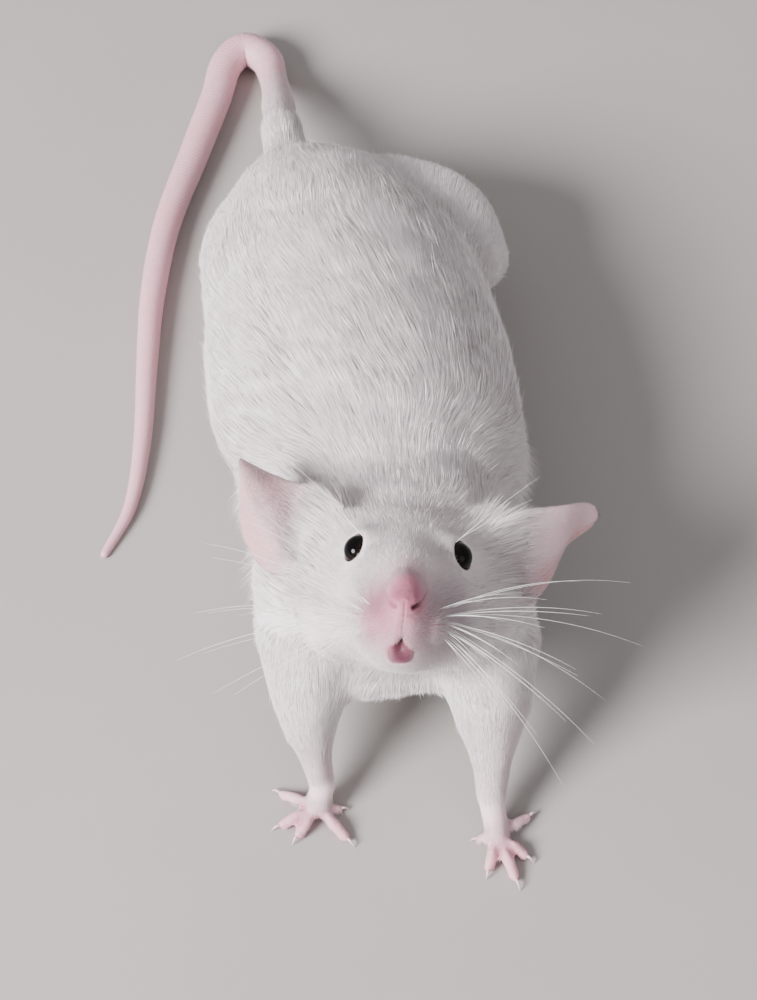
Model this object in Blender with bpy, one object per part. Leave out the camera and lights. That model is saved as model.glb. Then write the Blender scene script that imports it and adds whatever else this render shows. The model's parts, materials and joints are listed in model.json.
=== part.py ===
"""A white pet mouse at life size, as a still museum model.

It lies stretched out on its belly, front end raised on straight forelegs, head lifted to look up,
knees drawn up at its flanks and tail curled round to its right. It faces -Y, its left side is +X,
and the floor is z = 0. Sizes are in millimetres until a mesh is made.

The body is modelled whole from lofts and blobs, fused, then parted with thin cuts into named pieces.
"""

import math

import bmesh
import bpy
from mathutils import Matrix, Vector

MM = 0.001

# Driving dimensions.
CUT_GAP = 0.3
EYE_RADIUS = 1.75
EYE_CLEARANCE = 0.3
CORE_VOXEL = 0.9
FINE_VOXEL = 0.32
BODY_TRIANGLES = 2500
FOOT_TRIANGLES = 320
CRUMB_VOLUME = 2.0

# Surfaces: colour and roughness.
WHITE_COAT = ((0.9, 0.88, 0.86), 0.85)
SURFACES = {
    "eye": ((0.01, 0.01, 0.012), 0.08),
    "ear": ((0.86, 0.66, 0.64), 0.6),
    "nose": ((0.86, 0.5, 0.5), 0.5),
    "forepaw": ((0.88, 0.66, 0.64), 0.6),
    "hindfoot": ((0.88, 0.66, 0.64), 0.6),
    "tail": ((0.87, 0.68, 0.66), 0.65),
}

# The head's own frame: it starts at the nose tip, and looks up and a little to the right.
NOSE_TIP = Vector((-2.0, -38.0, 43.0))
HEAD_RISE = math.radians(55.3)
HEAD_TURN = math.radians(13.2)
HEAD_ROLL = math.radians(-3.1)


def head_axes():
    """(ahead, left, up) of the head, as unit vectors."""
    level = Vector((-math.sin(HEAD_TURN), -math.cos(HEAD_TURN), 0.0))
    ahead = level * math.cos(HEAD_RISE) + Vector((0, 0, 1)) * math.sin(HEAD_RISE)
    left = Vector((0, 0, 1)).cross(level).normalized()
    up = ahead.cross(left).normalized()
    turn = Matrix.Rotation(HEAD_ROLL, 3, ahead)
    return ahead, turn @ left, turn @ up


AHEAD, LEFT, UP = head_axes()


def on_head(ahead, left, up):
    """A place given in the head's own frame."""
    return NOSE_TIP + AHEAD * ahead + LEFT * left + UP * up


# Trunk stations, tail end to neck: y, x, height of the widest line, half width, rise above it, drop below it.
TRUNK = (
    (50.0, 1.7, 10.2, 3.7, 3.3, 3.7),
    (46.2, 1.8, 11.0, 6.6, 4.8, 7.0),
    (42.0, 2.1, 11.8, 10.2, 7.4, 10.4),
    (36.5, 2.6, 12.4, 13.7, 10.8, 12.4),
    (29.0, 3.2, 12.8, 16.6, 13.4, 13.1),
    (20.0, 3.5, 13.2, 18.3, 14.9, 13.6),
    (9.0, 3.1, 13.8, 19.3, 15.6, 14.1),
    (-2.0, 3.0, 14.8, 18.0, 15.2, 13.6),
    (-11.0, 1.5, 17.0, 16.0, 13.8, 12.4),
    (-18.0, 0.6, 19.6, 13.8, 12.0, 11.0),
    (-24.0, -0.2, 23.0, 11.4, 9.0, 9.0),
)

# Head stations, nose to nape: place along the head, top, widest line, underside, half width.
HEAD = (
    (-0.5, 1.2, -0.4, -2.2, 1.7),
    (-1.6, 1.9, -1.4, -4.7, 2.8),
    (-3.4, 2.9, -2.2, -6.6, 4.0),
    (-6.5, 4.4, -2.4, -8.1, 5.4),
    (-10.0, 5.9, -1.9, -8.7, 6.8),
    (-14.0, 7.4, -1.6, -9.1, 9.5),
    (-18.0, 9.1, -1.2, -9.5, 12.0),
    (-22.0, 9.4, -1.4, -9.9, 12.5),
    (-27.0, 8.4, -1.6, -9.6, 11.2),
)

EYE = {"ahead": -12.6, "aside": 5.12, "up": 4.15}

# Ears, in the head's frame: rows from root to outer end.
# Each row has the upper rim, the fold and the lower rim.
EARS = {
    "right": (
        ((-17.4, -9.4, 9.9), (-18.3, -12.2, 3.4), (-18.0, -11.8, 0.9)),
        ((-18.6, -12.5, 10.5), (-17.3, -14.5, 6.2), (-19.4, -15.3, 0.9)),
        ((-20.4, -16.0, 11.5), (-18.6, -17.1, 9.4), (-21.2, -18.2, 4.8)),
        ((-23.0, -19.2, 12.7), (-22.6, -19.3, 12.3), (-23.2, -18.9, 11.2)),
    ),
    "left": (
        ((-17.0, 11.0, 9.1), (-18.6, 9.9, 4.8), (-18.0, 10.2, -1.8)),
        ((-17.9, 14.0, 9.8), (-19.0, 13.2, 4.6), (-18.9, 13.4, -0.9)),
        ((-19.4, 17.0, 10.3), (-20.5, 16.2, 5.6), (-20.6, 15.6, 1.5)),
        ((-21.4, 19.1, 10.6), (-22.2, 18.2, 7.9), (-22.5, 17.0, 5.2)),
        ((-22.5, 20.2, 10.3), (-22.9, 20.7, 9.2), (-23.2, 20.1, 7.9)),
    ),
}
EAR_THICKNESS = 0.8
EAR_ROOT_DEPTH = 2.6

# Forelegs, shoulder to wrist: x, y, z, radius.
FORELEG = {
    "right": (
        (-8.2, -19.0, 18.5, 7.6),
        (-9.9, -25.0, 15.0, 6.5),
        (-11.3, -30.8, 10.4, 4.5),
        (-11.5, -34.4, 6.6, 2.65),
        (-11.2, -37.4, 3.3, 1.95),
    ),
    "left": (
        (8.6, -20.0, 18.8, 7.6),
        (9.5, -27.6, 15.6, 7.0),
        (8.9, -34.6, 11.0, 5.1),
        (8.1, -39.6, 6.8, 2.65),
        (7.3, -43.6, 3.2, 1.85),
    ),
}

# Forepaws: the palm's place, and each digit's heading and length.
# Headings are in degrees from straight ahead, outwards positive.
FOREPAW = {
    "right": {
        "palm": (-12.2, -39.2),
        "digits": ((-32.0, 6.1), (47.0, 4.8), (78.0, 5.7), (129.0, 6.0)),
        "thumb": (-84.0, 3.2),
    },
    "left": {
        "palm": (7.3, -46.9),
        "digits": ((-28.0, 4.9), (9.0, 6.8), (43.0, 4.8), (115.0, 5.7)),
        "thumb": (-100.0, 2.6),
    },
}

FORE_TOE_RADIUS = 0.78
THUMB_RADIUS = 0.6

# Hind legs: hip, middle of the thigh and knee, with radii, then the foot's heel and ball.
HINDLEG = {
    "right": {
        "thigh": ((-2.2, 40.5, 12.2, 5.2), (-6.4, 33.8, 12.0, 6.4), (-8.8, 27.2, 10.0, 5.5)),
        "heel": (-7.0, 40.0, 3.2),
        "ball": (-9.9, 27.0, 1.6),
    },
    "left": {
        "thigh": ((13.4, 38.6, 13.4, 4.8), (18.5, 33.0, 13.0, 6.4), (21.0, 27.0, 11.4, 5.6)),
        "heel": (14.6, 40.0, 3.2),
        "ball": (17.8, 27.0, 1.6),
    },
}
HIND_TOE_RADIUS = 0.78
HIND_TOES = ((-30.0, 3.6), (-11.0, 5.6), (1.0, 6.0), (13.0, 5.6), (34.0, 3.8))

# Tail, root to tip: x, y, z, radius.
# It runs back, turns in a tight bow and comes forward along the right flank.
TAIL = (
    (1.5, 46.0, 10.4, 7.2),
    (1.7, 51.5, 9.6, 5.2),
    (2.1, 56.5, 7.9, 3.5),
    (2.8, 63.0, 5.4, 2.3),
    (3.1, 68.0, 3.4, 2.15),
    (2.9, 72.6, 2.4, 2.2),
    (0.4, 75.2, 2.2, 2.3),
    (-2.6, 73.0, 2.1, 2.2),
    (-5.0, 67.6, 2.0, 2.1),
    (-9.4, 59.0, 1.85, 2.0),
    (-15.0, 48.0, 1.65, 1.8),
    (-18.8, 37.0, 1.45, 1.6),
    (-21.4, 26.0, 1.2, 1.35),
    (-23.8, 15.0, 0.95, 1.1),
    (-26.8, 6.0, 0.7, 0.8),
    (-31.0, 0.0, 0.4, 0.5),
)


# Where the tail is divided, root first, with the direction it runs there.
TAIL_CUTS = (
    ((2.2, 56.4, 8.0), (0.1, 1.0, -0.38), 5.2),
    ((0.6, 75.2, 2.2), (-1.0, 0.05, 0.0), 3.4),
    ((-9.4, 59.0, 1.85), (-0.45, -0.89, 0.0), 3.2),
    ((-18.8, 37.0, 1.45), (-0.28, -0.96, 0.0), 3.0),
    ((-23.8, 15.0, 0.95), (-0.29, -0.96, 0.0), 2.5),
)
TAIL_SEEDS = ((2.8, 65.0, 5.0), (-4.0, 68.0, 2.0), (-15.0, 48.0, 1.6), (-21.4, 26.0, 1.2), (-27.0, 7.0, 0.7))


def clear_scene():
    for old in list(bpy.data.objects):
        bpy.data.objects.remove(old)


def material(name, colour, roughness):
    made = bpy.data.materials.new(name)
    made.use_nodes = True
    shader = made.node_tree.nodes["Principled BSDF"]
    shader.inputs["Base Color"].default_value = (*colour, 1.0)
    shader.inputs["Roughness"].default_value = roughness
    shader.inputs["Metallic"].default_value = 0.0
    return made


def between(a, b, c, d, t):
    """A value on the smooth curve through a, b, c and d, a share t of the way from b to c."""
    square = (2 * a - 5 * b + 4 * c - d) * t * t
    cube = (3 * b - a - 3 * c + d) * t**3
    return 0.5 * (2 * b + (c - a) * t + square + cube)


def spline(keys, steps):
    """Points on a smooth curve through the keys, which may have any number of values each."""
    keys = [tuple(float(v) for v in key) for key in keys]
    first = tuple(2 * a - b for a, b in zip(keys[0], keys[1]))
    last = tuple(2 * a - b for a, b in zip(keys[-1], keys[-2]))
    padded = [first, *keys, last]
    found = []
    for i in range(len(keys) - 1):
        p0, p1, p2, p3 = padded[i : i + 4]
        for step in range(steps):
            found.append(tuple(between(*values, step / steps) for values in zip(p0, p1, p2, p3)))
    found.append(keys[-1])
    return found


def loft(bm, stations, up_hint, sides=32, round_ends=True):
    """A closed skin over rings. A station is (centre, half width, rise, drop)."""
    centres = [Vector(s[0]) for s in stations]
    frames = []
    for i, centre in enumerate(centres):
        along = (centres[min(i + 1, len(centres) - 1)] - centres[max(i - 1, 0)]).normalized()
        side = along.cross(up_hint).normalized()
        frames.append((centre, along, side, side.cross(along).normalized(), stations[i][1:]))
    rings = []
    if round_ends:
        for angle in (75, 50, 25):
            rings.append(end_ring(frames[0], -1, math.radians(angle)))
    rings += [(c, side, up, sizes) for c, _, side, up, sizes in frames]
    if round_ends:
        for angle in (25, 50, 75):
            rings.append(end_ring(frames[-1], 1, math.radians(angle)))
    made = []
    for centre, side, up, (half, rise, drop) in rings:
        ring = []
        for k in range(sides):
            a = 2 * math.pi * k / sides
            height = math.sin(a) * (rise if math.sin(a) > 0 else drop)
            ring.append(bm.verts.new((centre + side * (half * math.cos(a)) + up * height) * MM))
        made.append(ring)
    for low, high in zip(made, made[1:]):
        for k in range(sides):
            j = (k + 1) % sides
            bm.faces.new((low[k], high[k], high[j], low[j]))
    bm.faces.new(made[0])
    bm.faces.new(reversed(made[-1]))


def end_ring(frame, sign, angle):
    centre, along, side, up, (half, rise, drop) = frame
    reach = min(half, rise, drop) * math.sin(angle)
    shrink = math.cos(angle)
    return centre + along * (sign * reach), side, up, (half * shrink, rise * shrink, drop * shrink)


def tube(bm, keys, steps=4, sides=16):
    """A round tapering tube through keys of (x, y, z, radius)."""
    stations = [((x, y, z), r, r, r) for x, y, z, r in spline(keys, steps)]
    first, last = Vector(keys[0][:3]), Vector(keys[-1][:3])
    along = (last - first).normalized()
    hint = Vector((0, 0, 1)) if abs(along.z) < 0.8 else Vector((0, 1, 0))
    loft(bm, stations, hint, sides)


def blob(bm, centre, radii, axes=None, fineness=3):
    """An ellipsoid, turned to the three axes if they are given."""
    turn = Matrix.Identity(4)
    if axes:
        turn = Matrix([[*row] for row in zip(*axes)]).to_4x4()
    place = Matrix.Translation(Vector(centre) * MM) @ turn @ Matrix.Diagonal((*(r * MM for r in radii), 1.0))
    bmesh.ops.create_icosphere(bm, subdivisions=fineness, radius=1.0, matrix=place)


def new_object(name, bm):
    bmesh.ops.recalc_face_normals(bm, faces=bm.faces)
    mesh = bpy.data.meshes.new(name)
    bm.to_mesh(mesh)
    bm.free()
    made = bpy.data.objects.new(name, mesh)
    bpy.context.scene.collection.objects.link(made)
    return made


def settle(obj):
    """Bakes an object's modifiers into its mesh."""
    bpy.context.view_layer.update()
    evaluated = obj.evaluated_get(bpy.context.evaluated_depsgraph_get())
    obj.data = bpy.data.meshes.new_from_object(evaluated)
    obj.modifiers.clear()
    return obj


def fuse(obj, voxel, smoothing, keep_triangles=None):
    """Fuses overlapping shapes into one even skin, then smooths it and thins its triangles."""
    remesh = obj.modifiers.new("fuse", "REMESH")
    remesh.mode = "VOXEL"
    remesh.voxel_size = voxel * MM
    smooth = obj.modifiers.new("smooth", "SMOOTH")
    smooth.factor = 0.5
    smooth.iterations = smoothing
    settle(obj)
    if keep_triangles:
        thin = obj.modifiers.new("thin", "DECIMATE")
        thin.ratio = keep_triangles / (2 * len(obj.data.polygons))
        settle(obj)
    return obj


def cut(obj, cutter):
    """Takes the cutter's shape out of the object."""
    difference = obj.modifiers.new("cut", "BOOLEAN")
    difference.operation = "DIFFERENCE"
    difference.solver = "EXACT"
    difference.object = cutter
    settle(obj)
    bpy.data.objects.remove(cutter)
    return obj


# The trunk, chest, upper legs and cranium, which flow into each other.
def model_core():
    bm = bmesh.new()
    trunk = [((x, y, z), half, rise, drop) for y, x, z, half, rise, drop in spline(TRUNK, 5)]
    loft(bm, trunk, Vector((0, 0, 1)), 48)
    loft(bm, head_stations(), UP, 48)
    blob(bm, (-0.6, -22.6, 13.2), (11.6, 10.6, 8.0))
    blob(bm, (0.2, -22.0, 25.0), (10.8, 8.5, 8.0))
    blob(bm, (0.4, -18.5, 24.8), (13.2, 6.8, 7.6))
    for side, aside in (("left", 1), ("right", -1)):
        tube(bm, FORELEG[side], sides=24)
        tube(bm, HINDLEG[side]["thigh"], sides=24)
        blob(bm, on_head(-16.5, aside * 6.6, -3.4), (6.6, 5.0, 5.2), (AHEAD, LEFT, UP))
        blob(bm, on_head(-19.8, aside * 8.2, 5.4), (3.4, 4.0, 4.4), (AHEAD, LEFT, UP))
    return fuse(new_object("core", bm), CORE_VOXEL, 5)


def head_stations():
    stations = []
    for ahead, top, wide, low, half in spline(HEAD, 4):
        stations.append((on_head(ahead, 0.0, wide), half, top - wide, wide - low))
    return stations


# The muzzle: nose pad, two whisker pads and the chin.
def model_muzzle(bm):
    loft(bm, head_stations()[:14], UP, 32)
    axes = (AHEAD, LEFT, UP)
    blob(bm, on_head(-0.7, 0.0, -0.3), (1.3, 1.55, 1.25), axes)
    for aside in (1, -1):
        blob(bm, on_head(-3.7, aside * 2.3, -2.5), (3.0, 2.3, 2.3), axes)
    blob(bm, on_head(-5.4, 0.0, -5.2), (2.9, 2.0, 1.7), axes)


def ear_grid(rows):
    """Places over the ear's middle surface, from a root sunk into the head out to the free edge."""
    places = [[on_head(*p) for p in row] for row in rows]
    sunk = []
    for near, far in zip(places[0], places[1]):
        inward = (on_head(-21.0, 0.0, 2.0) - near).normalized()
        sunk.append(near + (inward * 0.6 + (near - far).normalized() * 0.4).normalized() * EAR_ROOT_DEPTH)
    columns = [spline([p.to_tuple() for p in column], 2) for column in zip(sunk, *places)]
    return [[Vector(p) for p in spline(row, 5)] for row in zip(*columns)]


def widened(line, grow):
    """A line of places, with its two ends moved outwards."""
    line = list(line)
    line[0] = line[0] + (line[0] - line[1]).normalized() * grow
    line[-1] = line[-1] + (line[-1] - line[-2]).normalized() * grow
    return line


def model_ear(rows, thickness, grow=0.0):
    """One ear as a leaf of even thickness. grow moves its edge outwards."""
    leaf = bmesh.new()
    grid = ear_grid(rows)
    if grow:
        grid = [widened(row, grow) for row in grid]
        grid = [list(row) for row in zip(*[widened(column, grow) for column in zip(*grid)])]
    verts = [[leaf.verts.new(p * MM) for p in row] for row in grid]
    for low, high in zip(verts, verts[1:]):
        for j in range(len(low) - 1):
            leaf.faces.new((low[j], low[j + 1], high[j + 1], high[j]))
    made = new_object("ear", leaf)
    thicken = made.modifiers.new("thicken", "SOLIDIFY")
    thicken.thickness = thickness * MM
    thicken.offset = 0.0
    thicken.use_even_offset = False
    return settle(made)


def heading_vector(degrees, outwards):
    """A level direction, measured from straight ahead (-Y) towards the animal's outer side."""
    a = math.radians(degrees)
    return Vector((outwards * math.sin(a), -math.cos(a), 0.0))


def model_digit(bm, start, direction, length, thick, arch):
    """One toe: it rises over the knuckle, comes down on its pad and ends in a claw that meets the floor."""
    shares = (0.0, 0.35, 0.68, 0.82, 1.0)
    heights = (thick + 0.35, thick + arch, thick - 0.05, 0.42, 0.24)
    radii = (thick, thick * 1.04, thick * 0.96, thick * 0.6, 0.26)
    places = [start + direction * (length * share) for share in shares]
    tube(bm, [(p.x, p.y, z, r) for p, z, r in zip(places, heights, radii)], steps=3, sides=10)
    pad = start + direction * (length * 0.66)
    blob(bm, (pad.x, pad.y, thick * 0.5), (thick, thick, thick * 0.84))


def model_forepaw(bm, side, outwards):
    paw = FOREPAW[side]
    palm = Vector((*paw["palm"], 1.1))
    wrist = Vector(FORELEG[side][-1][:3])
    middle = wrist * 0.45 + palm * 0.55
    tube(bm, ((*wrist, 1.85), (*middle, 1.65), (palm.x, palm.y, 1.3, 1.3)), sides=14)
    front = heading_vector(paw["digits"][1][0] * 0.5, outwards)
    across = Vector((-front.y, front.x, 0.0))
    blob(bm, palm, (1.5, 1.9, 1.2), (front, across, Vector((0, 0, 1))))
    for degrees, length in paw["digits"]:
        direction = heading_vector(degrees, outwards)
        model_digit(bm, palm + direction * 0.9, direction, length - 0.9, FORE_TOE_RADIUS, 0.45)
    degrees, length = paw["thumb"]
    direction = heading_vector(degrees, outwards)
    model_digit(bm, palm + direction, direction, length - 1.0, THUMB_RADIUS, 0.1)


def model_hindfoot(side, outwards, grow=0.0):
    """A hind foot, heel to toes, and the ankle that rises from it into the thigh. grow thickens it."""
    bm = bmesh.new()
    leg = HINDLEG[side]
    heel, ball = Vector(leg["heel"]), Vector(leg["ball"])
    middle = heel * 0.5 + ball * 0.5
    sole = ((heel.x, heel.y, 1.75, 1.85), (middle.x, middle.y, 1.45, 1.65), (ball.x, ball.y, 1.2, 1.5))
    tube(bm, sole)
    thigh = Vector(leg["thigh"][1][:3])
    shank = Vector((heel.x * 0.6 + thigh.x * 0.4, heel.y - 3.6, 5.8))
    tube(bm, ((heel.x, heel.y - 0.2, 2.5, 2.0), (*shank, 2.9), (*(shank * 0.55 + thigh * 0.45), 3.2)))
    front = Vector((ball.x - heel.x, ball.y - heel.y, 0.0)).normalized()
    across = Vector((-front.y, front.x, 0.0))
    blob(bm, (ball.x, ball.y, 1.2), (2.2, 2.3, 1.2), (front, across, Vector((0, 0, 1))))
    lead = math.degrees(math.atan2(front.x * outwards, -front.y))
    for degrees, length in HIND_TOES:
        direction = heading_vector(lead + degrees, outwards)
        model_digit(bm, ball + direction * 1.2, direction, length, HIND_TOE_RADIUS, 0.3)
    foot = new_object("foot", bm)
    if grow:
        push = foot.modifiers.new("grow", "DISPLACE")
        push.strength = grow * MM
        push.mid_level = 0.0
    return foot


def model_body():
    """The whole animal but for ears, eyes and hind feet in one skin, flat where it meets the floor."""
    core = model_core()
    bm = bmesh.new()
    bm.from_mesh(core.data)
    bpy.data.objects.remove(core)
    model_muzzle(bm)
    tube(bm, TAIL, steps=6, sides=18)
    for side, outwards in (("left", 1), ("right", -1)):
        model_forepaw(bm, side, outwards)
    body = fuse(new_object("body", bm), FINE_VOXEL, 2, BODY_TRIANGLES)
    return cut(body, floor_block())


def floor_block():
    under = bmesh.new()
    size = Matrix.Diagonal((0.2, 0.3, 0.02, 1.0))
    bmesh.ops.create_cube(under, size=1.0, matrix=Matrix.Translation((0.0, 0.02, -0.01)) @ size)
    return new_object("floor_cutter", under)


def slab(centre, normal, half_across, half_up, up_hint=(0, 0, 1)):
    """A thin plate, which parts the body where it passes through it."""
    normal = Vector(normal).normalized()
    side = normal.cross(Vector(up_hint)).normalized()
    up = side.cross(normal)
    turn = Matrix([[*row] for row in zip(side, up, normal)]).to_4x4()
    size = Matrix.Diagonal((2 * half_across * MM, 2 * half_up * MM, CUT_GAP * MM, 1.0))
    bm = bmesh.new()
    bmesh.ops.create_cube(bm, size=1.0, matrix=Matrix.Translation(Vector(centre) * MM) @ turn @ size)
    return new_object("slab_cutter", bm)


def shell(centre, radii, axes=None, fineness=3):
    """A thin hollow ellipsoid, which parts what lies inside it from the rest."""
    outer = ellipsoid("shell_cutter", centre, [r + CUT_GAP for r in radii], axes, fineness)
    return cut(outer, ellipsoid("shell_core", centre, radii, axes, fineness))


def ellipsoid(name, centre, radii, axes=None, fineness=3):
    bm = bmesh.new()
    blob(bm, centre, radii, axes, fineness)
    return new_object(name, bm)


def leg_axes(start, end):
    """Along the limb, across it and up from it."""
    along = (Vector(end[:3]) - Vector(start[:3])).normalized()
    side = along.cross(Vector((0, 0, 1))).normalized()
    return along, side, side.cross(along)


def split(obj):
    """An object's separate pieces, largest first, without the crumbs between cuts."""
    bm = bmesh.new()
    bm.from_mesh(obj.data)
    unseen = set(bm.faces)
    pieces = []
    while unseen:
        start = unseen.pop()
        group = {start}
        border = [start]
        while border:
            for edge in border.pop().edges:
                for face in edge.link_faces:
                    if face in unseen:
                        unseen.discard(face)
                        group.add(face)
                        border.append(face)
        places = {}
        faces = [[places.setdefault(v, len(places)) for v in face.verts] for face in group]
        solid = bmesh.new()
        mesh = bpy.data.meshes.new(obj.name)
        mesh.from_pydata([v.co.copy() for v in places], [], faces)
        solid.from_mesh(mesh)
        volume = solid.calc_volume() / MM**3
        solid.free()
        if volume > CRUMB_VOLUME:
            pieces.append((volume, mesh))
    bm.free()
    bpy.data.objects.remove(obj)
    pieces.sort(key=lambda piece: -piece[0])
    return [mesh for _, mesh in pieces]


def part(whole, cutter, **seeds):
    """Cuts an object, and names each piece after the seed place nearest to its middle."""
    meshes = split(cut(whole, cutter))
    if len(meshes) != len(seeds):
        print("parting", list(seeds), "gave", len(meshes), "pieces")
    named = {}
    for name, seed in seeds.items():
        place = Vector(seed) * MM
        near = min(meshes, key=lambda mesh: (middle(mesh) - place).length)
        meshes.remove(near)
        named[name] = bpy.data.objects.new(name, near)
        bpy.context.scene.collection.objects.link(named[name])
    return list(named.values())


def middle(mesh):
    total = Vector((0.0, 0.0, 0.0))
    for vert in mesh.vertices:
        total += vert.co
    return total / len(mesh.vertices)


def build():
    body = model_body()
    parts = []
    for side, outwards in (("left", 1), ("right", -1)):
        rows = EARS[side]
        cut(body, model_ear(rows, EAR_THICKNESS + 2 * CUT_GAP, grow=CUT_GAP))
        ear = model_ear(rows, EAR_THICKNESS)
        ear.name = "ear_" + side
        centre = on_head(EYE["ahead"], outwards * EYE["aside"], EYE["up"])
        socket = EYE_RADIUS + EYE_CLEARANCE
        cut(body, ellipsoid("socket", centre, (socket, socket, socket), fineness=2))
        eye = ellipsoid("eye_" + side, centre, (EYE_RADIUS, EYE_RADIUS, EYE_RADIUS))
        cut(body, model_hindfoot(side, outwards, CUT_GAP))
        foot = fuse(model_hindfoot(side, outwards), FINE_VOXEL, 2, FOOT_TRIANGLES)
        foot = cut(foot, floor_block())
        foot.name = "hindfoot_" + side
        parts += [ear, eye, foot]

    rest = body
    for side, outwards in (("left", 1), ("right", -1)):
        shoulder, elbow, *_, wrist = FORELEG[side]
        upper = Vector(shoulder[:3]) * 0.42 + Vector(FORELEG[side][2][:3]) * 0.58
        cutter = shell(upper, (9.4, 7.6, 7.8), leg_axes(shoulder, FORELEG[side][2]))
        low = Vector(FORELEG[side][3][:3])
        seeds = {"upper_foreleg_" + side: upper, "fore": low}
        rest, arm, fore = part(rest, cutter, rest=(3, 20, 12), **seeds)
        plate = slab(Vector(wrist[:3]) + Vector((0, 0.8, 0.8)), Vector(wrist[:3]) - low, 3.4, 3.4)
        palm = (*FOREPAW[side]["palm"], 1.0)
        fore, paw = part(fore, plate, **{"forearm_" + side: low, "forepaw_" + side: palm})
        parts += [arm, fore, paw]
        hip, thigh, knee = HINDLEG[side]["thigh"]
        centre = Vector(thigh[:3]) + Vector((0.0, -0.8, -0.5))
        cutter = shell(centre, (12.8, 7.4, 9.4), leg_axes(hip, knee))
        rest, leg = part(rest, cutter, rest=(3, 0, 12), **{"thigh_" + side: centre})
        parts.append(leg)

    for number, (place, along, half) in enumerate(TAIL_CUTS):
        name = "tail_" + str(number + 1)
        if number == 0:
            rest, tail = part(rest, slab(place, along, half, half), rest=(3, 0, 12), tail=(-5, 60, 3))
            continue
        near = "tail_" + str(number)
        seeds = {near: TAIL_SEEDS[number - 1], name: TAIL_SEEDS[number]}
        done, tail = part(tail, slab(place, along, half, half), **seeds)
        parts.append(done)
    parts.append(tail)

    head_cut = slab(on_head(-21.6, 0.0, 0.0), AHEAD, 16.0, 15.0, UP)
    rest, head = part(rest, head_cut, rest=(3, 0, 12), head=on_head(-12, 0, -1))
    nose_cut = shell(on_head(-0.7, 0.0, -0.2), (1.6, 1.75, 1.4), (AHEAD, LEFT, UP), 2)
    head, nose = part(head, nose_cut, head=on_head(-12, 0, -1), nose=on_head(-0.8, 0, -0.3))
    neck_cut = slab((0.4, -16.0, 22.0), (-0.03, -0.9, 0.42), 24.0, 20.0)
    rest, neck = part(rest, neck_cut, rest=(3, 10, 12), neck=(0, -21, 22))
    chest_cut = slab((2.0, -4.0, 14.0), (-0.05, -1.0, 0.0), 26.0, 26.0)
    rest, chest = part(rest, chest_cut, rest=(3, 20, 12), chest=(1, -10, 14))
    rump_cut = slab((3.0, 22.0, 14.0), (0.0, -1.0, 0.0), 30.0, 26.0)
    rump, belly = part(rest, rump_cut, rump=(3, 34, 12), belly=(3, 8, 12))
    parts += [head, nose, neck, chest, rump, belly]
    finish(parts)


def finish(parts):
    """Sets the box's floor centre at the origin, and gives each part its surface."""
    low = [min(v.co[k] for p in parts for v in p.data.vertices) for k in range(3)]
    high = [max(v.co[k] for p in parts for v in p.data.vertices) for k in range(3)]
    shift = Matrix.Translation((-(low[0] + high[0]) / 2, -(low[1] + high[1]) / 2, -low[2]))
    for obj in parts:
        obj.data.transform(shift)
        obj.data.shade_smooth()
        obj.data.set_sharp_from_angle(angle=math.radians(50))
        kind = next((k for k in SURFACES if obj.name.startswith(k)), "coat")
        obj.data.materials.clear()
        obj.data.materials.append(material(obj.name + "_surface", *SURFACES.get(kind, WHITE_COAT)))


if __name__ == "__main__":
    clear_scene()
    build()
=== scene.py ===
import json
import math

import bmesh
import bpy
import numpy as np
from mathutils import Matrix, Vector
from mathutils.bvhtree import BVHTree
from mathutils.kdtree import KDTree

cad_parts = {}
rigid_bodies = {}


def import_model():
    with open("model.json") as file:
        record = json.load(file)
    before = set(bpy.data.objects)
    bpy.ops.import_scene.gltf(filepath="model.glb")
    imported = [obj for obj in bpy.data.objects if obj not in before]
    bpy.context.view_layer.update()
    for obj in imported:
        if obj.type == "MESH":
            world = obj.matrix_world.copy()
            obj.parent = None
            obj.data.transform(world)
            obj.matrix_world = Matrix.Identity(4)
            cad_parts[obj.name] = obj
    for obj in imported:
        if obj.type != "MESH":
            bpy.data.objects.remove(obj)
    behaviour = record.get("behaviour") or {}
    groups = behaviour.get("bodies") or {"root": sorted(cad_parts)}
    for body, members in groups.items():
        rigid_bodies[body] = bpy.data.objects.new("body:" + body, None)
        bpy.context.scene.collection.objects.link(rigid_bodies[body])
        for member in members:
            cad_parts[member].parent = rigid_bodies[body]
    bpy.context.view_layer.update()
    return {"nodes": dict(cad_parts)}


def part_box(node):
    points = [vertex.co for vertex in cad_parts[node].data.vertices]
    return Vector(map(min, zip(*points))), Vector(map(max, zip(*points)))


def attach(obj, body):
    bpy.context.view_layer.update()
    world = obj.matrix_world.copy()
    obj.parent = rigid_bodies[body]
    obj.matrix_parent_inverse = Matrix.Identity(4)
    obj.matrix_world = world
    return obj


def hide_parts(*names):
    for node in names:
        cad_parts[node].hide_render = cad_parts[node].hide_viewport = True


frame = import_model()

# ---- Hide
# The mouse's own skin, one closed hide from nose to tail tip: thin and loose on the trunk, drawn tight on
# the muzzle, paws and tail. It is modelled whole as overlapping masses, fused, then worked like wax.
MM = 0.001

HEAD_RISE = math.radians(55.3)
HEAD_TURN = math.radians(13.2)
HEAD_ROLL = math.radians(-3.1)
NOSE_TIP = Vector((-2.0, -38.0, 43.0))
level = Vector((-math.sin(HEAD_TURN), -math.cos(HEAD_TURN), 0.0))
AHEAD = level * math.cos(HEAD_RISE) + Vector((0, 0, 1)) * math.sin(HEAD_RISE)
LEFT = Vector((0, 0, 1)).cross(level).normalized()
roll = Matrix.Rotation(HEAD_ROLL, 3, AHEAD)
LEFT, UP = roll @ LEFT, roll @ AHEAD.cross(LEFT)


def on_head(ahead, left, up):
    """A place given from the nose tip, in millimetres ahead of it, to its left and above it."""
    return NOSE_TIP + AHEAD * ahead + LEFT * left + UP * up


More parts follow.
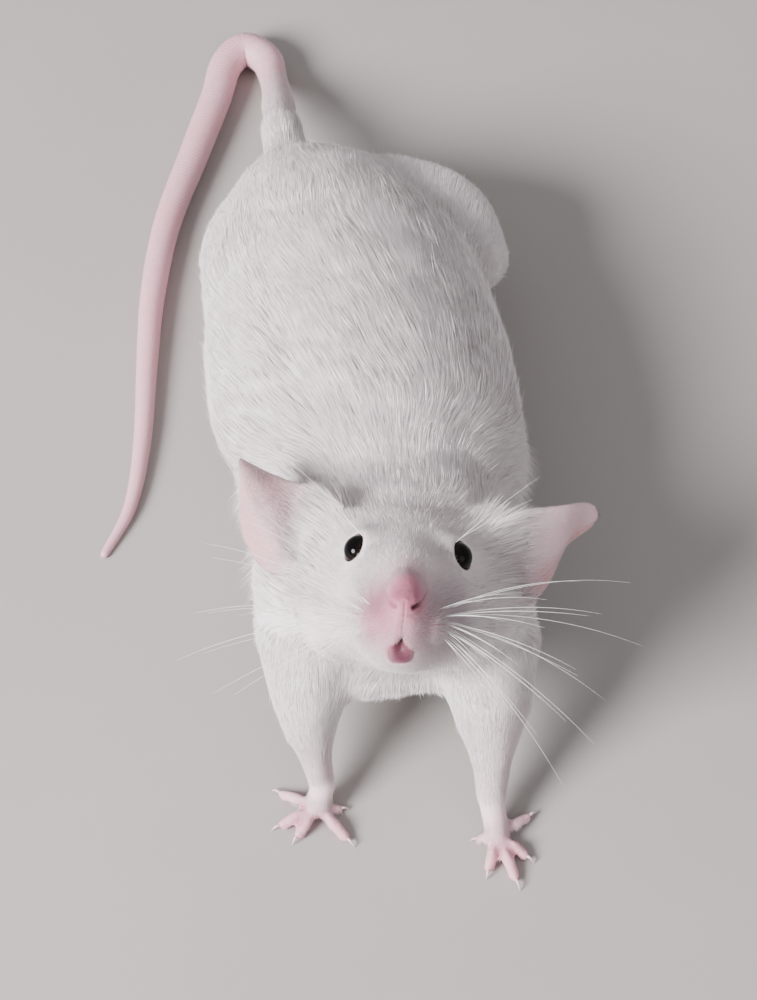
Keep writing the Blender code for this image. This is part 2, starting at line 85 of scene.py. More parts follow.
EYE_RADIUS = 1.75
EYE = {"ahead": -12.6, "aside": 5.12, "up": 4.15}


def eye_centre(aside):
    """The middle of the left eyeball for 1, of the right one for -1."""
    return on_head(EYE["ahead"], aside * EYE["aside"], EYE["up"])


# The masses are drawn about the middle of the body, and the frame's left eye says where that is.
eye_middle = (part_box("eye_left")[0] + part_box("eye_left")[1]) / 2 / MM
HOME = eye_middle - eye_centre(1)

# Trunk, tail end to neck: y, x, height of the widest line, half width, rise above it, drop below it.
TRUNK = (
    (50.0, 1.7, 10.2, 3.7, 3.3, 3.7),
    (46.2, 1.8, 11.0, 6.6, 4.8, 7.0),
    (42.0, 2.1, 11.8, 10.2, 7.4, 10.4),
    (36.5, 2.6, 12.4, 13.7, 10.8, 12.4),
    (29.0, 3.2, 12.8, 16.6, 13.4, 13.1),
    (20.0, 3.5, 13.2, 18.3, 14.9, 13.6),
    (9.0, 3.1, 13.8, 19.3, 15.6, 14.1),
    (-2.0, 3.0, 14.8, 18.0, 15.2, 13.6),
    (-11.0, 1.5, 17.0, 16.0, 13.8, 12.4),
    (-18.0, 0.6, 19.6, 13.8, 12.0, 11.0),
    (-24.0, -0.2, 23.0, 11.4, 9.0, 9.0),
)
# Head, nose to nape: place along it, top, widest line, underside, half width.
HEAD = (
    (-0.5, 1.2, -0.4, -2.2, 1.7),
    (-1.6, 1.9, -1.4, -4.7, 2.8),
    (-3.4, 2.9, -2.2, -6.6, 4.0),
    (-6.5, 4.4, -2.4, -8.1, 5.4),
    (-10.0, 5.9, -1.9, -8.7, 6.8),
    (-14.0, 7.4, -1.6, -9.1, 9.5),
    (-18.0, 9.1, -1.2, -9.5, 12.0),
    (-22.0, 9.4, -1.4, -9.9, 12.5),
    (-27.0, 8.4, -1.6, -9.6, 11.2),
)
# Forelegs, shoulder to wrist: x, y, z, radius.
FORELEG = {
    "right": (
        (-8.2, -19.0, 18.5, 7.6),
        (-9.9, -25.0, 15.0, 6.5),
        (-11.3, -30.8, 10.4, 4.5),
        (-11.5, -34.4, 6.6, 2.3),
        (-11.2, -37.4, 3.3, 1.7),
    ),
    "left": (
        (8.6, -20.0, 18.8, 7.6),
        (9.5, -27.6, 15.6, 7.0),
        (8.9, -34.6, 11.0, 5.1),
        (8.1, -39.6, 6.8, 2.65),
        (7.3, -43.6, 3.2, 1.85),
    ),
}
# Forepaws: the palm's place, and each digit's heading and length, in degrees from straight ahead, outwards.
FOREPAW = {
    "right": {
        "palm": (-12.2, -39.2),
        "digits": ((-32.0, 6.1), (47.0, 4.8), (78.0, 5.7), (129.0, 6.0)),
        "thumb": (-84.0, 3.2),
    },
    "left": {
        "palm": (7.3, -46.9),
        "digits": ((-28.0, 4.9), (9.0, 6.8), (43.0, 4.8), (115.0, 5.7)),
        "thumb": (-100.0, 2.6),
    },
}
# Hind legs: hip, middle of the thigh and knee with radii, then the foot's heel and ball.
HINDLEG = {
    "right": {
        "thigh": ((-2.2, 40.5, 12.2, 5.2), (-6.4, 33.8, 12.0, 6.4), (-8.8, 27.2, 10.0, 5.5)),
        "heel": (-7.0, 40.0, 3.2),
        "ball": (-9.9, 27.0, 1.6),
    },
    "left": {
        "thigh": ((13.4, 38.6, 13.4, 4.8), (18.5, 33.0, 13.0, 6.4), (21.0, 27.0, 11.4, 5.6)),
        "heel": (14.6, 40.0, 3.2),
        "ball": (17.8, 27.0, 1.6),
    },
}
HIND_TOES = ((-30.0, 3.6), (-11.0, 5.6), (1.0, 6.0), (13.0, 5.6), (34.0, 3.8))
DIGIT_HALF, THUMB_HALF, TOE_HALF = 0.7, 0.6, 0.78
SIDES = (("left", 1), ("right", -1))
claws = []


def spline(keys, steps):
    """Points on a smooth curve through the keys, which may have any number of values each."""
    keys = np.array([tuple(key) for key in keys], float)
    padded = np.vstack([2 * keys[0] - keys[1], keys, 2 * keys[-1] - keys[-2]])
    found = []
    for i in range(len(keys) - 1):
        a, b, c, d = padded[i : i + 4]
        for step in range(steps):
            t = step / steps
            bend = 2 * b + (c - a) * t + (2 * a - 5 * b + 4 * c - d) * t**2
            found.append(0.5 * (bend + (3 * b - a - 3 * c + d) * t**3))
    return np.array([*found, keys[-1]])


def loft(bm, stations, up_hint, sides):
    """A closed skin over rings with rounded ends. A station is a centre, half width, rise and drop."""
    centres = [Vector(s[0]) for s in stations]
    rings = []
    for i, (_, *size) in enumerate(stations):
        along = (centres[min(i + 1, len(centres) - 1)] - centres[max(i - 1, 0)]).normalized()
        side = along.cross(up_hint).normalized()
        rings.append((centres[i], along, side, side.cross(along), size))
    for end, sign in ((0, -1), (-1, 1)):
        centre, along, side, up, size = rings[end]
        domes = []
        for angle in (25, 50, 75):
            reach = min(size) * math.sin(math.radians(angle)) * sign
            shrunk = [s * math.cos(math.radians(angle)) for s in size]
            domes.append((centre + along * reach, along, side, up, shrunk))
        rings = rings + domes if sign > 0 else domes[::-1] + rings
    turns = [2 * math.pi * k / sides for k in range(sides)]
    made = []
    for centre, _, side, up, (half, rise, drop) in rings:
        places = [
            centre + side * (half * math.cos(a)) + up * (math.sin(a) * (rise if math.sin(a) > 0 else drop))
            for a in turns
        ]
        made.append([bm.verts.new(p * MM) for p in places])
    for low, high in zip(made, made[1:]):
        for k in range(sides):
            bm.faces.new((low[k], high[k], high[(k + 1) % sides], low[(k + 1) % sides]))
    bm.faces.new(made[0])
    bm.faces.new(reversed(made[-1]))


def tube(bm, keys, steps=4, sides=16):
    """A round tapering tube through keys of x, y, z and radius."""
    keys = [tuple(key) for key in keys]
    along = (Vector(keys[-1][:3]) - Vector(keys[0][:3])).normalized()
    hint = Vector((0, 0, 1)) if abs(along.z) < 0.8 else Vector((0, 1, 0))
    loft(bm, [(p[:3], p[3], p[3], p[3]) for p in spline(keys, steps)], hint, sides)


def blob(bm, centre, radii, axes=None, fineness=4):
    """An ellipsoid, turned to the three axes if they are given."""
    turn = Matrix([[*row] for row in zip(*axes)]).to_4x4() if axes else Matrix.Identity(4)
    size = Matrix.Diagonal((*(r * MM for r in radii), 1.0))
    place = Matrix.Translation(Vector(centre) * MM) @ turn @ size
    bmesh.ops.create_icosphere(bm, subdivisions=fineness, radius=1.0, matrix=place)


def new_object(name, bm):
    """Closes a shape being worked and stands it in the scene."""
    bmesh.ops.recalc_face_normals(bm, faces=bm.faces)
    mesh = bpy.data.meshes.new(name)
    bm.to_mesh(mesh)
    bm.free()
    made = bpy.data.objects.new(name, mesh)
    bpy.context.scene.collection.objects.link(made)
    return made


def settle(obj):
    """Works an object's modifiers into its mesh."""
    bpy.context.view_layer.update()
    evaluated = obj.evaluated_get(bpy.context.evaluated_depsgraph_get())
    obj.data = bpy.data.meshes.new_from_object(evaluated)
    obj.modifiers.clear()
    return obj


def fuse(obj, voxel, smoothing):
    """Fuses overlapping masses into one even surface, then smooths it."""
    remesh = obj.modifiers.new("fuse", "REMESH")
    remesh.mode = "VOXEL"
    remesh.voxel_size = voxel * MM
    smooth = obj.modifiers.new("smooth", "SMOOTH")
    smooth.factor = 0.5
    smooth.iterations = smoothing
    return settle(obj)


def head_stations():
    """The head's rings, nose to nape, about its widest line."""
    keys = spline(HEAD, 4)
    return [(on_head(a, 0.0, wide), half, top - wide, wide - low) for a, top, wide, low, half in keys]


def heading_vector(degrees, outwards):
    """A level direction, turned from straight ahead towards the mouse's own outer side."""
    a = math.radians(degrees)
    return Vector((outwards * math.sin(a), -math.cos(a), 0.0))


def on_the_flat(front):
    """Three axes for a paw that stands level: forwards, sideways and up."""
    return front, Vector((-front.y, front.x, 0.0)), Vector((0, 0, 1))


def add_digit(bm, start, direction, length, thick, arch):
    """One toe: up over the knuckle, down onto its pad, with a bed at its tip for the claw."""
    shares = (0.0, 0.33, 0.6, 0.74)
    heights = (thick + 0.35, thick + arch, thick * 1.04, thick * 0.92)
    radii = (thick * 0.92, thick * 1.04, thick * 0.95, thick * 0.76)
    places = [start + direction * (length * share) for share in shares]
    tube(bm, [(p.x, p.y, z, r) for p, z, r in zip(places, heights, radii)], steps=4, sides=14)
    pad = start + direction * (length * 0.66)
    blob(bm, (pad.x, pad.y, thick * 0.52), (thick * 0.98, thick * 0.98, thick * 0.82), fineness=3)
    knuckle = start + direction * (length * 0.3)
    blob(bm, (knuckle.x, knuckle.y, thick + arch * 0.8), (thick * 1.02,) * 3, fineness=3)
    claws.append((start + direction * (length * 0.8), direction, 0.75 + 0.06 * length, thick))


# The large masses: trunk, head, chest and shoulders, cheeks, the roots of the ears, and the limbs.
core = bmesh.new()
trunk = [((x, y, z), half, rise, drop) for y, x, z, half, rise, drop in spline(TRUNK, 5)]
loft(core, trunk, Vector((0, 0, 1)), 64)
loft(core, head_stations(), UP, 64)
blob(core, (-0.6, -22.6, 13.2), (11.6, 10.6, 8.0))
blob(core, (0.2, -22.0, 25.0), (10.8, 8.5, 8.0))
blob(core, (0.4, -18.5, 24.8), (13.2, 6.8, 7.6))
for side, aside in SIDES:
    tube(core, FORELEG[side], sides=32)
    tube(core, HINDLEG[side]["thigh"], sides=32)
    blob(core, on_head(-16.5, aside * 6.6, -3.4), (6.6, 5.0, 5.2), (AHEAD, LEFT, UP))
    blob(core, on_head(-19.8, aside * 8.2, 5.4), (3.4, 4.0, 4.4), (AHEAD, LEFT, UP))
hide = fuse(new_object("hide", core), 0.7, 8)

# The muzzle's pads and chin, the paws and the feet are added crisp, after the large masses have run
# together.
fine = bmesh.new()
fine.from_mesh(hide.data)
loft(fine, head_stations()[:14], UP, 48)
blob(fine, on_head(-0.85, 0.0, -0.3), (1.3, 1.6, 1.25), (AHEAD, LEFT, UP))
blob(fine, on_head(-1.6, 0.0, 0.5), (1.45, 1.65, 1.5), (AHEAD, LEFT, UP))
blob(fine, on_head(-2.9, 0.0, 0.7), (2.35, 1.85, 2.2), (AHEAD, LEFT, UP))
blob(fine, on_head(-5.4, 0.0, -5.2), (2.9, 2.0, 1.7), (AHEAD, LEFT, UP))
for side, aside in SIDES:
    blob(fine, on_head(-3.7, aside * 2.3, -2.5), (3.0, 2.3, 2.3), (AHEAD, LEFT, UP))
    wrist = Vector(FORELEG[side][-1][:3])
    palm = Vector((*FOREPAW[side]["palm"], 1.1))
    half_way = wrist * 0.45 + palm * 0.55
    tube(fine, ((*wrist, 1.65), (*half_way, 1.5), (palm.x, palm.y, 1.25, 1.25)), sides=20)
    digits = FOREPAW[side]["digits"]
    front = heading_vector(digits[1][0] * 0.5, aside)
    blob(fine, palm, (1.35, 1.6, 1.15), on_the_flat(front))
    for degrees, length in digits:
        direction = heading_vector(degrees, aside)
        add_digit(fine, palm + direction * 0.9, direction, length - 0.9, DIGIT_HALF, 0.45)
    degrees, length = FOREPAW[side]["thumb"]
    direction = heading_vector(degrees, aside)
    add_digit(fine, palm + direction, direction, length - 1.0, THUMB_HALF, 0.1)

    leg = HINDLEG[side]
    heel, ball = Vector(leg["heel"]), Vector(leg["ball"])
    instep = (*((heel + ball) / 2).xy, 1.45, 1.65)
    tube(fine, ((heel.x, heel.y, 1.75, 1.85), instep, (ball.x, ball.y, 1.2, 1.5)), sides=20)
    thigh = Vector(leg["thigh"][1][:3])
    shank = Vector((heel.x * 0.6 + thigh.x * 0.4, heel.y - 3.6, 5.8))
    under_knee = (*(shank * 0.55 + thigh * 0.45), 3.2)
    tube(fine, ((heel.x, heel.y - 0.2, 2.5, 2.0), (*shank, 2.9), under_knee), sides=20)
    front = (ball - heel).xy.to_3d().normalized()
    blob(fine, (ball.x, ball.y, 1.2), (2.2, 2.3, 1.2), on_the_flat(front))
    lead = math.degrees(math.atan2(front.x * aside, -front.y))
    for degrees, length in HIND_TOES:
        direction = heading_vector(lead + degrees, aside)
        add_digit(fine, Vector((ball.x, ball.y, 0.0)) + direction * 1.2, direction, length, TOE_HALF, 0.3)
bpy.data.objects.remove(hide)
hide = fuse(new_object("hide", fine), 0.36, 3)

# The ears are thin leaves of skin over gristle, drawn from a root sunk in the head to a fine free edge.
# Each row has the upper rim, the fold and the lower rim.
EARS = {
    "right": (
        ((-17.4, -9.4, 9.9), (-18.3, -12.2, 3.4), (-18.0, -11.8, 0.9)),
        ((-18.6, -12.5, 10.5), (-17.3, -14.5, 6.2), (-19.4, -15.3, 0.9)),
        ((-20.4, -16.0, 11.5), (-18.6, -17.1, 9.4), (-21.2, -18.2, 4.8)),
        ((-23.0, -19.2, 12.7), (-22.6, -19.3, 12.3), (-23.2, -18.9, 11.2)),
    ),
    "left": (
        ((-17.0, 11.0, 9.1), (-18.6, 9.9, 4.8), (-18.0, 10.2, -1.8)),
        ((-17.9, 14.0, 9.8), (-19.0, 13.2, 4.6), (-18.9, 13.4, -0.9)),
        ((-19.4, 17.0, 10.3), (-20.5, 16.2, 5.6), (-20.6, 15.6, 1.5)),
        ((-21.4, 19.1, 10.6), (-22.2, 18.2, 7.9), (-22.5, 17.0, 5.2)),
        ((-22.6, 20.2, 10.3), (-23.6, 20.7, 9.2), (-24.0, 20.1, 7.9)),
    ),
}
EAR_EDGE, EAR_BASE = 0.36, 0.9
EAR_ROOT_DEPTH = 2.6


def ear_sheet(rows):
    """Places over the ear's middle surface as (root to tip, upper rim to lower rim, xyz)."""
    places = np.array([[on_head(*p) for p in row] for row in rows])
    inward = np.array(on_head(-21.0, 0.0, 2.0)) - places[0]
    inward /= np.linalg.norm(inward, axis=1)[:, None]
    back = places[0] - places[1]
    back /= np.linalg.norm(back, axis=1)[:, None]
    sunk = inward * 0.6 + back * 0.4
    sunk = places[0] + sunk / np.linalg.norm(sunk, axis=1)[:, None] * EAR_ROOT_DEPTH
    columns = np.vstack([sunk[None], places])
    along = np.stack([spline(columns[:, j], 9) for j in range(3)], axis=1)
    return np.stack([spline(row, 18) for row in along])


def unit(v):
    """Directions of length one."""
    return v / np.maximum(np.linalg.norm(v, axis=-1, keepdims=True), 1e-12)


def graft(part):
    """Joins a part onto the hide, so that the two are one closed surface."""
    join = hide.modifiers.new("join", "BOOLEAN")
    join.operation = "UNION"
    join.solver = "MANIFOLD"
    join.object = part
    settle(hide)
    bpy.data.objects.remove(part)


ear_sheets = {side: ear_sheet(EARS[side]) for side, _ in SIDES}
for sheet in ear_sheets.values():
    n_rows, n_columns = sheet.shape[:2]
    normal = unit(np.cross(np.gradient(sheet, axis=0), np.gradient(sheet, axis=1)))
    share = np.linspace(0, 1, n_rows)[:, None]
    across = np.linspace(-1, 1, n_columns)[None, :]
    inner = (1 - share) * (1 - across**2)
    thick = EAR_EDGE + (EAR_BASE - EAR_EDGE) * inner**0.8
    rim = np.maximum(np.abs(across) ** 10, share**14)
    thick = thick * (1 - 0.45 * rim)
    leaf = bmesh.new()
    front = [[leaf.verts.new(p * MM) for p in row] for row in sheet + normal * thick[..., None] / 2]
    rear = [[leaf.verts.new(p * MM) for p in row] for row in sheet - normal * thick[..., None] / 2]
    for i in range(n_rows - 1):
        for j in range(n_columns - 1):
            leaf.faces.new((front[i][j], front[i + 1][j], front[i + 1][j + 1], front[i][j + 1]))
            leaf.faces.new((rear[i][j], rear[i][j + 1], rear[i + 1][j + 1], rear[i + 1][j]))
    border = [(i, 0) for i in range(n_rows)] + [(n_rows - 1, j) for j in range(1, n_columns)]
    border += [(i, n_columns - 1) for i in range(n_rows - 2, -1, -1)]
    border += [(0, j) for j in range(n_columns - 2, 0, -1)]
    for (i, j), (k, m) in zip(border, border[1:] + border[:1]):
        leaf.faces.new((front[i][j], front[k][m], rear[k][m], rear[i][j]))
    graft(new_object("ear", leaf))

# The tail tapers through some two hundred rings of scales. Its keys are x, y, z and radius, root to tip.
TAIL = (
    (1.5, 46.0, 10.4, 7.2),
    (1.7, 51.5, 9.6, 4.4),
    (2.1, 56.5, 7.9, 2.8),
    (2.8, 63.0, 5.4, 2.0),
    (3.1, 68.0, 3.4, 1.85),
    (2.9, 72.6, 2.4, 2.2),
    (0.4, 75.2, 2.2, 2.3),
    (-2.6, 73.0, 2.1, 2.2),
    (-5.0, 67.6, 2.0, 2.1),
    (-9.4, 59.0, 1.85, 2.0),
    (-15.0, 48.0, 1.65, 1.8),
    (-18.8, 37.0, 1.45, 1.6),
    (-21.4, 26.0, 1.2, 1.35),
    (-23.8, 15.0, 0.95, 1.1),
    (-26.8, 6.0, 0.7, 0.8),
    (-31.0, 0.0, 0.4, 0.5),
)
RING_SPACING = 0.5
RING_DEPTH = 0.028
line = spline(TAIL, 40)
run = np.concatenate([[0], np.cumsum(np.linalg.norm(np.diff(line[:, :3], axis=0), axis=1))])
steps = np.arange(0, run[-1], RING_SPACING / 4)
tail_line = np.stack([np.interp(steps, run, line[:, k]) for k in range(4)], axis=1)
wave = 0.5 - 0.5 * np.cos(2 * math.pi * steps / RING_SPACING)
grow = np.clip(steps / 6, 0, 1)
tail_line[:, 3] += (wave - 0.6) * RING_DEPTH * grow * np.clip(tail_line[:, 3], 0.3, 2) / 1.6
tail = bmesh.new()
loft(tail, [(p[:3], p[3], p[3], p[3]) for p in tail_line], Vector((0, 0, 1)), 26)
graft(new_object("tail", tail))


def read(items, name, count, kind=np.float32):
    """The same few numbers of every point, edge or corner of a surface, in one row."""
    values = np.empty(len(items) * count, kind)
    items.foreach_get(name, values)
    return values


def vertex_array(mesh, name="co"):
    """The places or normals of a surface's points, a row for each."""
    return read(mesh.vertices, name, 3).reshape(-1, 3).astype(float)


def head_places(points):
    """Places in millimetres ahead of, left of and above the nose tip."""
    return (points - np.array(NOSE_TIP)) @ np.array([AHEAD, LEFT, UP]).T


def refine(obj, wanted):
    """Quarters the faces whose corners are all in the wanted places."""
    bm = bmesh.new()
    bm.from_mesh(obj.data)
    inside = wanted(vertex_array(obj.data) / MM)
    faces = [f for f in bm.faces if all(inside[v.index] for v in f.verts)]
    edges = list(dict.fromkeys(e for f in faces for e in f.edges))
    bmesh.ops.subdivide_edges(bm, edges=edges, cuts=1, use_grid_fill=True, smooth=0.6)
    bmesh.ops.triangulate(bm, faces=[f for f in bm.faces if len(f.verts) > 4])
    bm.to_mesh(obj.data)
    bm.free()


def near(points, centre, reach):
    """Which points lie within reach of a centre."""
    return np.linalg.norm(points - np.array(centre), axis=1) < reach


def spot(places, centre, reach, edge=2):
    """1 at a centre, falling to 0 past the reach. The higher the edge, the sharper its border."""
    return np.exp(-((np.linalg.norm(places - np.array(centre), axis=1) / reach) ** edge))


def patch(places, centre, halves, edge=3):
    """1 at a centre, falling to 0 past a half width each way. A higher edge makes it squarer."""
    return np.exp(-(np.abs((places - np.array(centre)) / halves) ** edge).sum(axis=1))


def toe_zone(points):
    """Which points belong to the digits of any foot."""
    found = np.zeros(len(points), bool)
    for side, _ in SIDES:
        palm = np.array([*FOREPAW[side]["palm"], 1.5])
        ball = np.array([*HINDLEG[side]["ball"][:2], 1.5]) + (0, -3.0, 0)
        found |= near(points, palm, 8.6) | near(points, ball, 7.0)
    return found & (points[:, 2] < 4.2)


def eye_zone(points):
    """Which points lie round either eye."""
    found = np.zeros(len(points), bool)
    for _, aside in SIDES:
        found |= near(points, eye_centre(aside), 3.3)
    return found


# The surface is worked finer where the detail is: face and digits once, muzzle and eyelids twice.
refine(hide, lambda p: (head_places(p)[:, 0] > -17.0) | toe_zone(p))
refine(hide, lambda p: (head_places(p)[:, 0] > -4.4) | eye_zone(p))
mesh = hide.data

tie_a, tie_b = read(mesh.edges, "vertices", 2, np.int32).reshape(-1, 2).T
n_points = len(mesh.vertices)
ties = (np.bincount(tie_a, minlength=n_points) + np.bincount(tie_b, minlength=n_points))[:, None]


def spread(values, rounds):
    """Evens values out between neighbouring points of the hide."""
    for _ in range(rounds):
        mean = np.stack(
            [
                np.bincount(tie_a, v[tie_b], n_points) + np.bincount(tie_b, v[tie_a], n_points)
                for v in values.T
            ],
            axis=1,
        )
        values = values + 0.5 * (mean / ties - values)
    return values


# Each part's coat: how deep it stands, its hairs' length and width in millimetres, how many tufts grow
# on a square millimetre, how far they lift in degrees, and how bare and pink the skin is.
COAT = {
    "nose": (0.0, 0.4, 0.05, 0.0, 16, 1.0),
    "head": (0.45, 2.2, 0.06, 80, 6, 0.1),
    "neck": (0.9, 4.0, 0.075, 48, 6, 0.04),
    "chest": (0.8, 3.7, 0.065, 46, 11, 0.04),
    "belly": (0.9, 5.4, 0.07, 46, 3, 0.04),
    "rump": (0.8, 4.9, 0.07, 46, 3, 0.04),
    "upper_foreleg": (0.5, 2.4, 0.06, 60, 5, 0.04),
    "forearm": (0.2, 1.8, 0.055, 70, 9, 0.25),
    "forepaw": (0.0, 0.7, 0.04, 26, 10, 0.9),
    "thigh": (0.75, 3.2, 0.075, 46, 3, 0.04),
    "hindfoot": (0.0, 0.8, 0.045, 18, 12, 0.9),
    "tail_1": (0.1, 1.9, 0.05, 60, 7, 0.45),
    "tail": (0.0, 0.8, 0.035, 20, 10, 0.85),
    "ear": (0.0, 0.6, 0.035, 30, 9, 0.7),
}
owners, corners, faces = [], [], []
for name, node in frame["nodes"].items():
    if name.startswith("eye"):
        continue
    start = len(corners)
    corners += [v.co - HOME * MM for v in node.data.vertices]
    faces += [[start + i for i in f.vertices] for f in node.data.polygons]
    owners += [name] * len(node.data.polygons)
parts_tree = BVHTree.FromPolygons(corners, faces)
points = vertex_array(mesh) / MM
owner = np.array([owners[parts_tree.find_nearest(Vector(p * MM))[2]] for p in points])


def coat_row(name):
    """The kind of coat that one named part of the body wears."""
    stem = name.removesuffix("_left").removesuffix("_right")
    if stem.startswith("tail") and stem != "tail_1":
        stem = "tail"
    return COAT[stem]


names = sorted(set(owners))
row_of = {name: i for i, name in enumerate(names)}
owner_row = np.array([row_of[name] for name in owner])
coat = np.array([coat_row(name) for name in names])[owner_row]

# It changes gently from rump to tail, and down each leg to the bare foot.
at_tail = ((owner == "rump") & (points[:, 1] > 46)) | (owner == "tail_1")
to_tail = np.clip((points[:, 1] - 48.0) / 13.0, 0, 1)[:, None]
blended = np.array(COAT["rump"]) + to_tail * (np.array(COAT["tail_1"]) - COAT["rump"])
coat = np.where(at_tail[:, None], blended, coat)
past_root = 0.95 * np.clip((points[:, 1] - 57.0) / 12.0, 0, 1) * (owner == "tail_1")
coat += past_root[:, None] * (np.array(COAT["tail"]) - coat)
shank = np.clip((points[:, 2] - 3.4) / 1.5, 0, 1) * np.char.startswith(owner.astype(str), "hindfoot")
coat += shank[:, None] * (np.array(COAT["thigh"]) * (0.6, 0.5, 0.8, 1.0, 1.0, 2.0) - coat)
for side, _ in SIDES:
    wrist, palm = np.array(FORELEG[side][-1][:3]), np.array([*FOREPAW[side]["palm"], 1.0])
    past = ((points - wrist) @ unit(palm - wrist) + 0.8) / (np.linalg.norm(palm - wrist) + 1.8)
    share = (1 - np.clip(past, 0, 1)) * (owner == "forepaw_" + side)
    coat += share[:, None] * (np.array(COAT["forearm"]) - coat)

# The lie of the coat: back from the nose over the body, down the limbs and out along the tail and ears.
lie = np.zeros((n_points, 3))
ahead, left, up = np.array(AHEAD), np.array(LEFT), np.array(UP)
head_at = head_places(points)
radial = unit(head_at[:, 1:2] * left + (head_at[:, 2:3] + 1.0) * up)
back = np.array([0.0, 1.0, 0.0])
tail_root = np.array([1.6, 54.0, 8.0])
outward = np.sign(points[:, 0:1] - 3.0) * np.clip(np.abs(points[:, 0:1] - 3.0) / 18, 0, 1)
by_part = {
    "nose": -ahead + 0.8 * radial,
    "head": -ahead + 0.35 * radial,
    "neck": -0.55 * ahead + back + (0, 0, -0.15),
    "chest": np.array([0.0, 0.55, -0.9]) + 0 * points,
    "belly": back - (0.26, 0, 0) + outward * (0.12, 0, 0) + np.abs(outward) * (0, 0, -0.32),
    "rump": unit(tail_root + (0.0, 6.0, -1.0) - points) + 0.6 * back,
}
for side, aside in SIDES:
    leg = np.array(FORELEG[side])[:, :3]
    by_part["upper_foreleg_" + side] = (leg[2] - leg[0]) + 0 * points
    by_part["forearm_" + side] = (leg[4] - leg[2]) + 0 * points
    by_part["forepaw_" + side] = unit((points - leg[4]) * (1.0, 1.0, 0.3)) + 0.6 * unit(leg[4] - leg[2])
    by_part["thigh_" + side] = np.array([0.1 * aside, 0.85, -0.45]) + 0 * points
    foot = HINDLEG[side]
    by_part["hindfoot_" + side] = np.array(foot["ball"]) - np.array(foot["heel"]) + 0 * points
for i, name in enumerate(names):
    here = owner_row == i
    if name.startswith("tail"):
        nearest = np.abs(points[here][:, None, :] - tail_line[None, ::8, :3]).sum(axis=2).argmin(axis=1)
        lie[here] = np.gradient(tail_line[::8, :3], axis=0)[nearest]
    elif name.startswith("ear"):
        sheet = ear_sheets[name.removeprefix("ear_")]
        flat = sheet.reshape(-1, 3)
        run_out = np.gradient(sheet, axis=0).reshape(-1, 3)
        nearest = ((points[here][:, None, :] - flat[None, ::3]) ** 2).sum(axis=2).argmin(axis=1) * 3
        lie[here] = run_out[nearest]
        root = np.clip(1.3 - nearest / len(flat) * 2.1, 0, 1)[:, None] ** 1.5
        coat[here] += root * (np.array([0.0, 3.0, 0.06, 70, 12, 0.1]) - coat[here])
    else:
        lie[here] = np.broadcast_to(by_part[name], (n_points, 3))[here]
lie = unit(spread(unit(lie), 90))

# Before each ear the coat turns outwards and grows long, and fringes the ear's root.
ear_fringe = np.zeros(n_points)
for side, _ in SIDES:
    sheet = ear_sheets[side]
    root_line = sheet[9, ::3]
    apart = np.sqrt(((points[:, None, :] - root_line[None]) ** 2).sum(axis=2)).min(axis=1)
    fringe = (np.exp(-((apart / 4.4) ** 2)) * (owner == "head"))[:, None]
    outwards = unit(sheet[-1, 9] - sheet[9, 9]) + 0.25 * ahead
    lie = unit(lie + 1.6 * fringe * outwards)
    coat[:, 1:2] += fringe * 2.3
    coat[:, 4:5] += fringe * 10.0
    ear_fringe = np.maximum(ear_fringe, fringe[:, 0])

# On the face the coat grows shorter, finer and thinner towards the nose. The pad and the bulge over it are
# all but bare, the lips flush pink, and the bristles' beds on either side show skin between the hairs,
# darkened there in colour as painted shade.
coat = spread(coat, 30)
face = np.clip((head_at[:, 0] + 15.0) / 12.0, 0, 1)
on_face = np.isin(owner, ("head", "nose"))
bridge = patch(head_at, (-1.2, 0.0, 0.4), (5.0, 2.4, 3.4), 2)
lips = patch(head_at, (-1.8, -1.2, -1.6), (5.4, 4.1, 4.2), 2)
pink = np.clip(np.maximum(bridge * 1.3, lips * 1.08), 0, 1)
bulge = patch(head_at[:, 1:], (0.0, 0.5), (1.85, 1.75)) * (head_at[:, 0] > -4.5)
beds = np.stack([(np.abs(head_at[:, 1]) - 4.3) / 3.0, (head_at[:, 2] + 2.2) / 4.2], axis=1)
whisker_bed = np.exp(-((beds**2).sum(axis=1) ** 2)) * np.clip((head_at[:, 0] + 11) / 3, 0, 1)
pad = patch(head_at[:, 1:], (0.0, -0.1), (1.6, 1.35)) * (head_at[:, 0] > -2.9)
by_mouth = patch(head_at[:, 1:], (0.0, -4.7), (1.7, 1.5), 2) * (head_at[:, 0] > -5)
depth, length, width, density, lift, bare = coat.T
length[on_face] = (
    length * (1 - 0.65 * by_mouth) * (1 - 0.4 * face) * (1 - 0.5 * pink) * (1 - 0.4 * bulge)
)[on_face]
width[on_face] = (width * (1 - 0.2 * face))[on_face]
density[on_face] = (
    density * (1 + 0.4 * face) * (1 - 0.4 * pink) * (1 - 0.6 * whisker_bed) * (1 - pad) * (1 - 0.96 * bulge)
)[on_face]
depth[on_face] = (depth * (1 - 0.8 * face))[on_face]
lift[on_face] = (lift + 22 * whisker_bed)[on_face]
bare[on_face] = np.maximum(bare * (1 + face), pink)[on_face]

# At the wrists the coat thins and the pink shows through; the digits are naked.
for side, _ in SIDES:
    from_palm = np.linalg.norm(points - [*FOREPAW[side]["palm"], 1.0], axis=1)
    at_wrist = np.clip(1.15 - from_palm / 11.0, 0, 1) * (owner == "forearm_" + side)
    bare += 0.4 * at_wrist
    length *= 1 - 0.35 * at_wrist
    density[(owner == "forepaw_" + side) & (from_palm > 2.9)] = 0

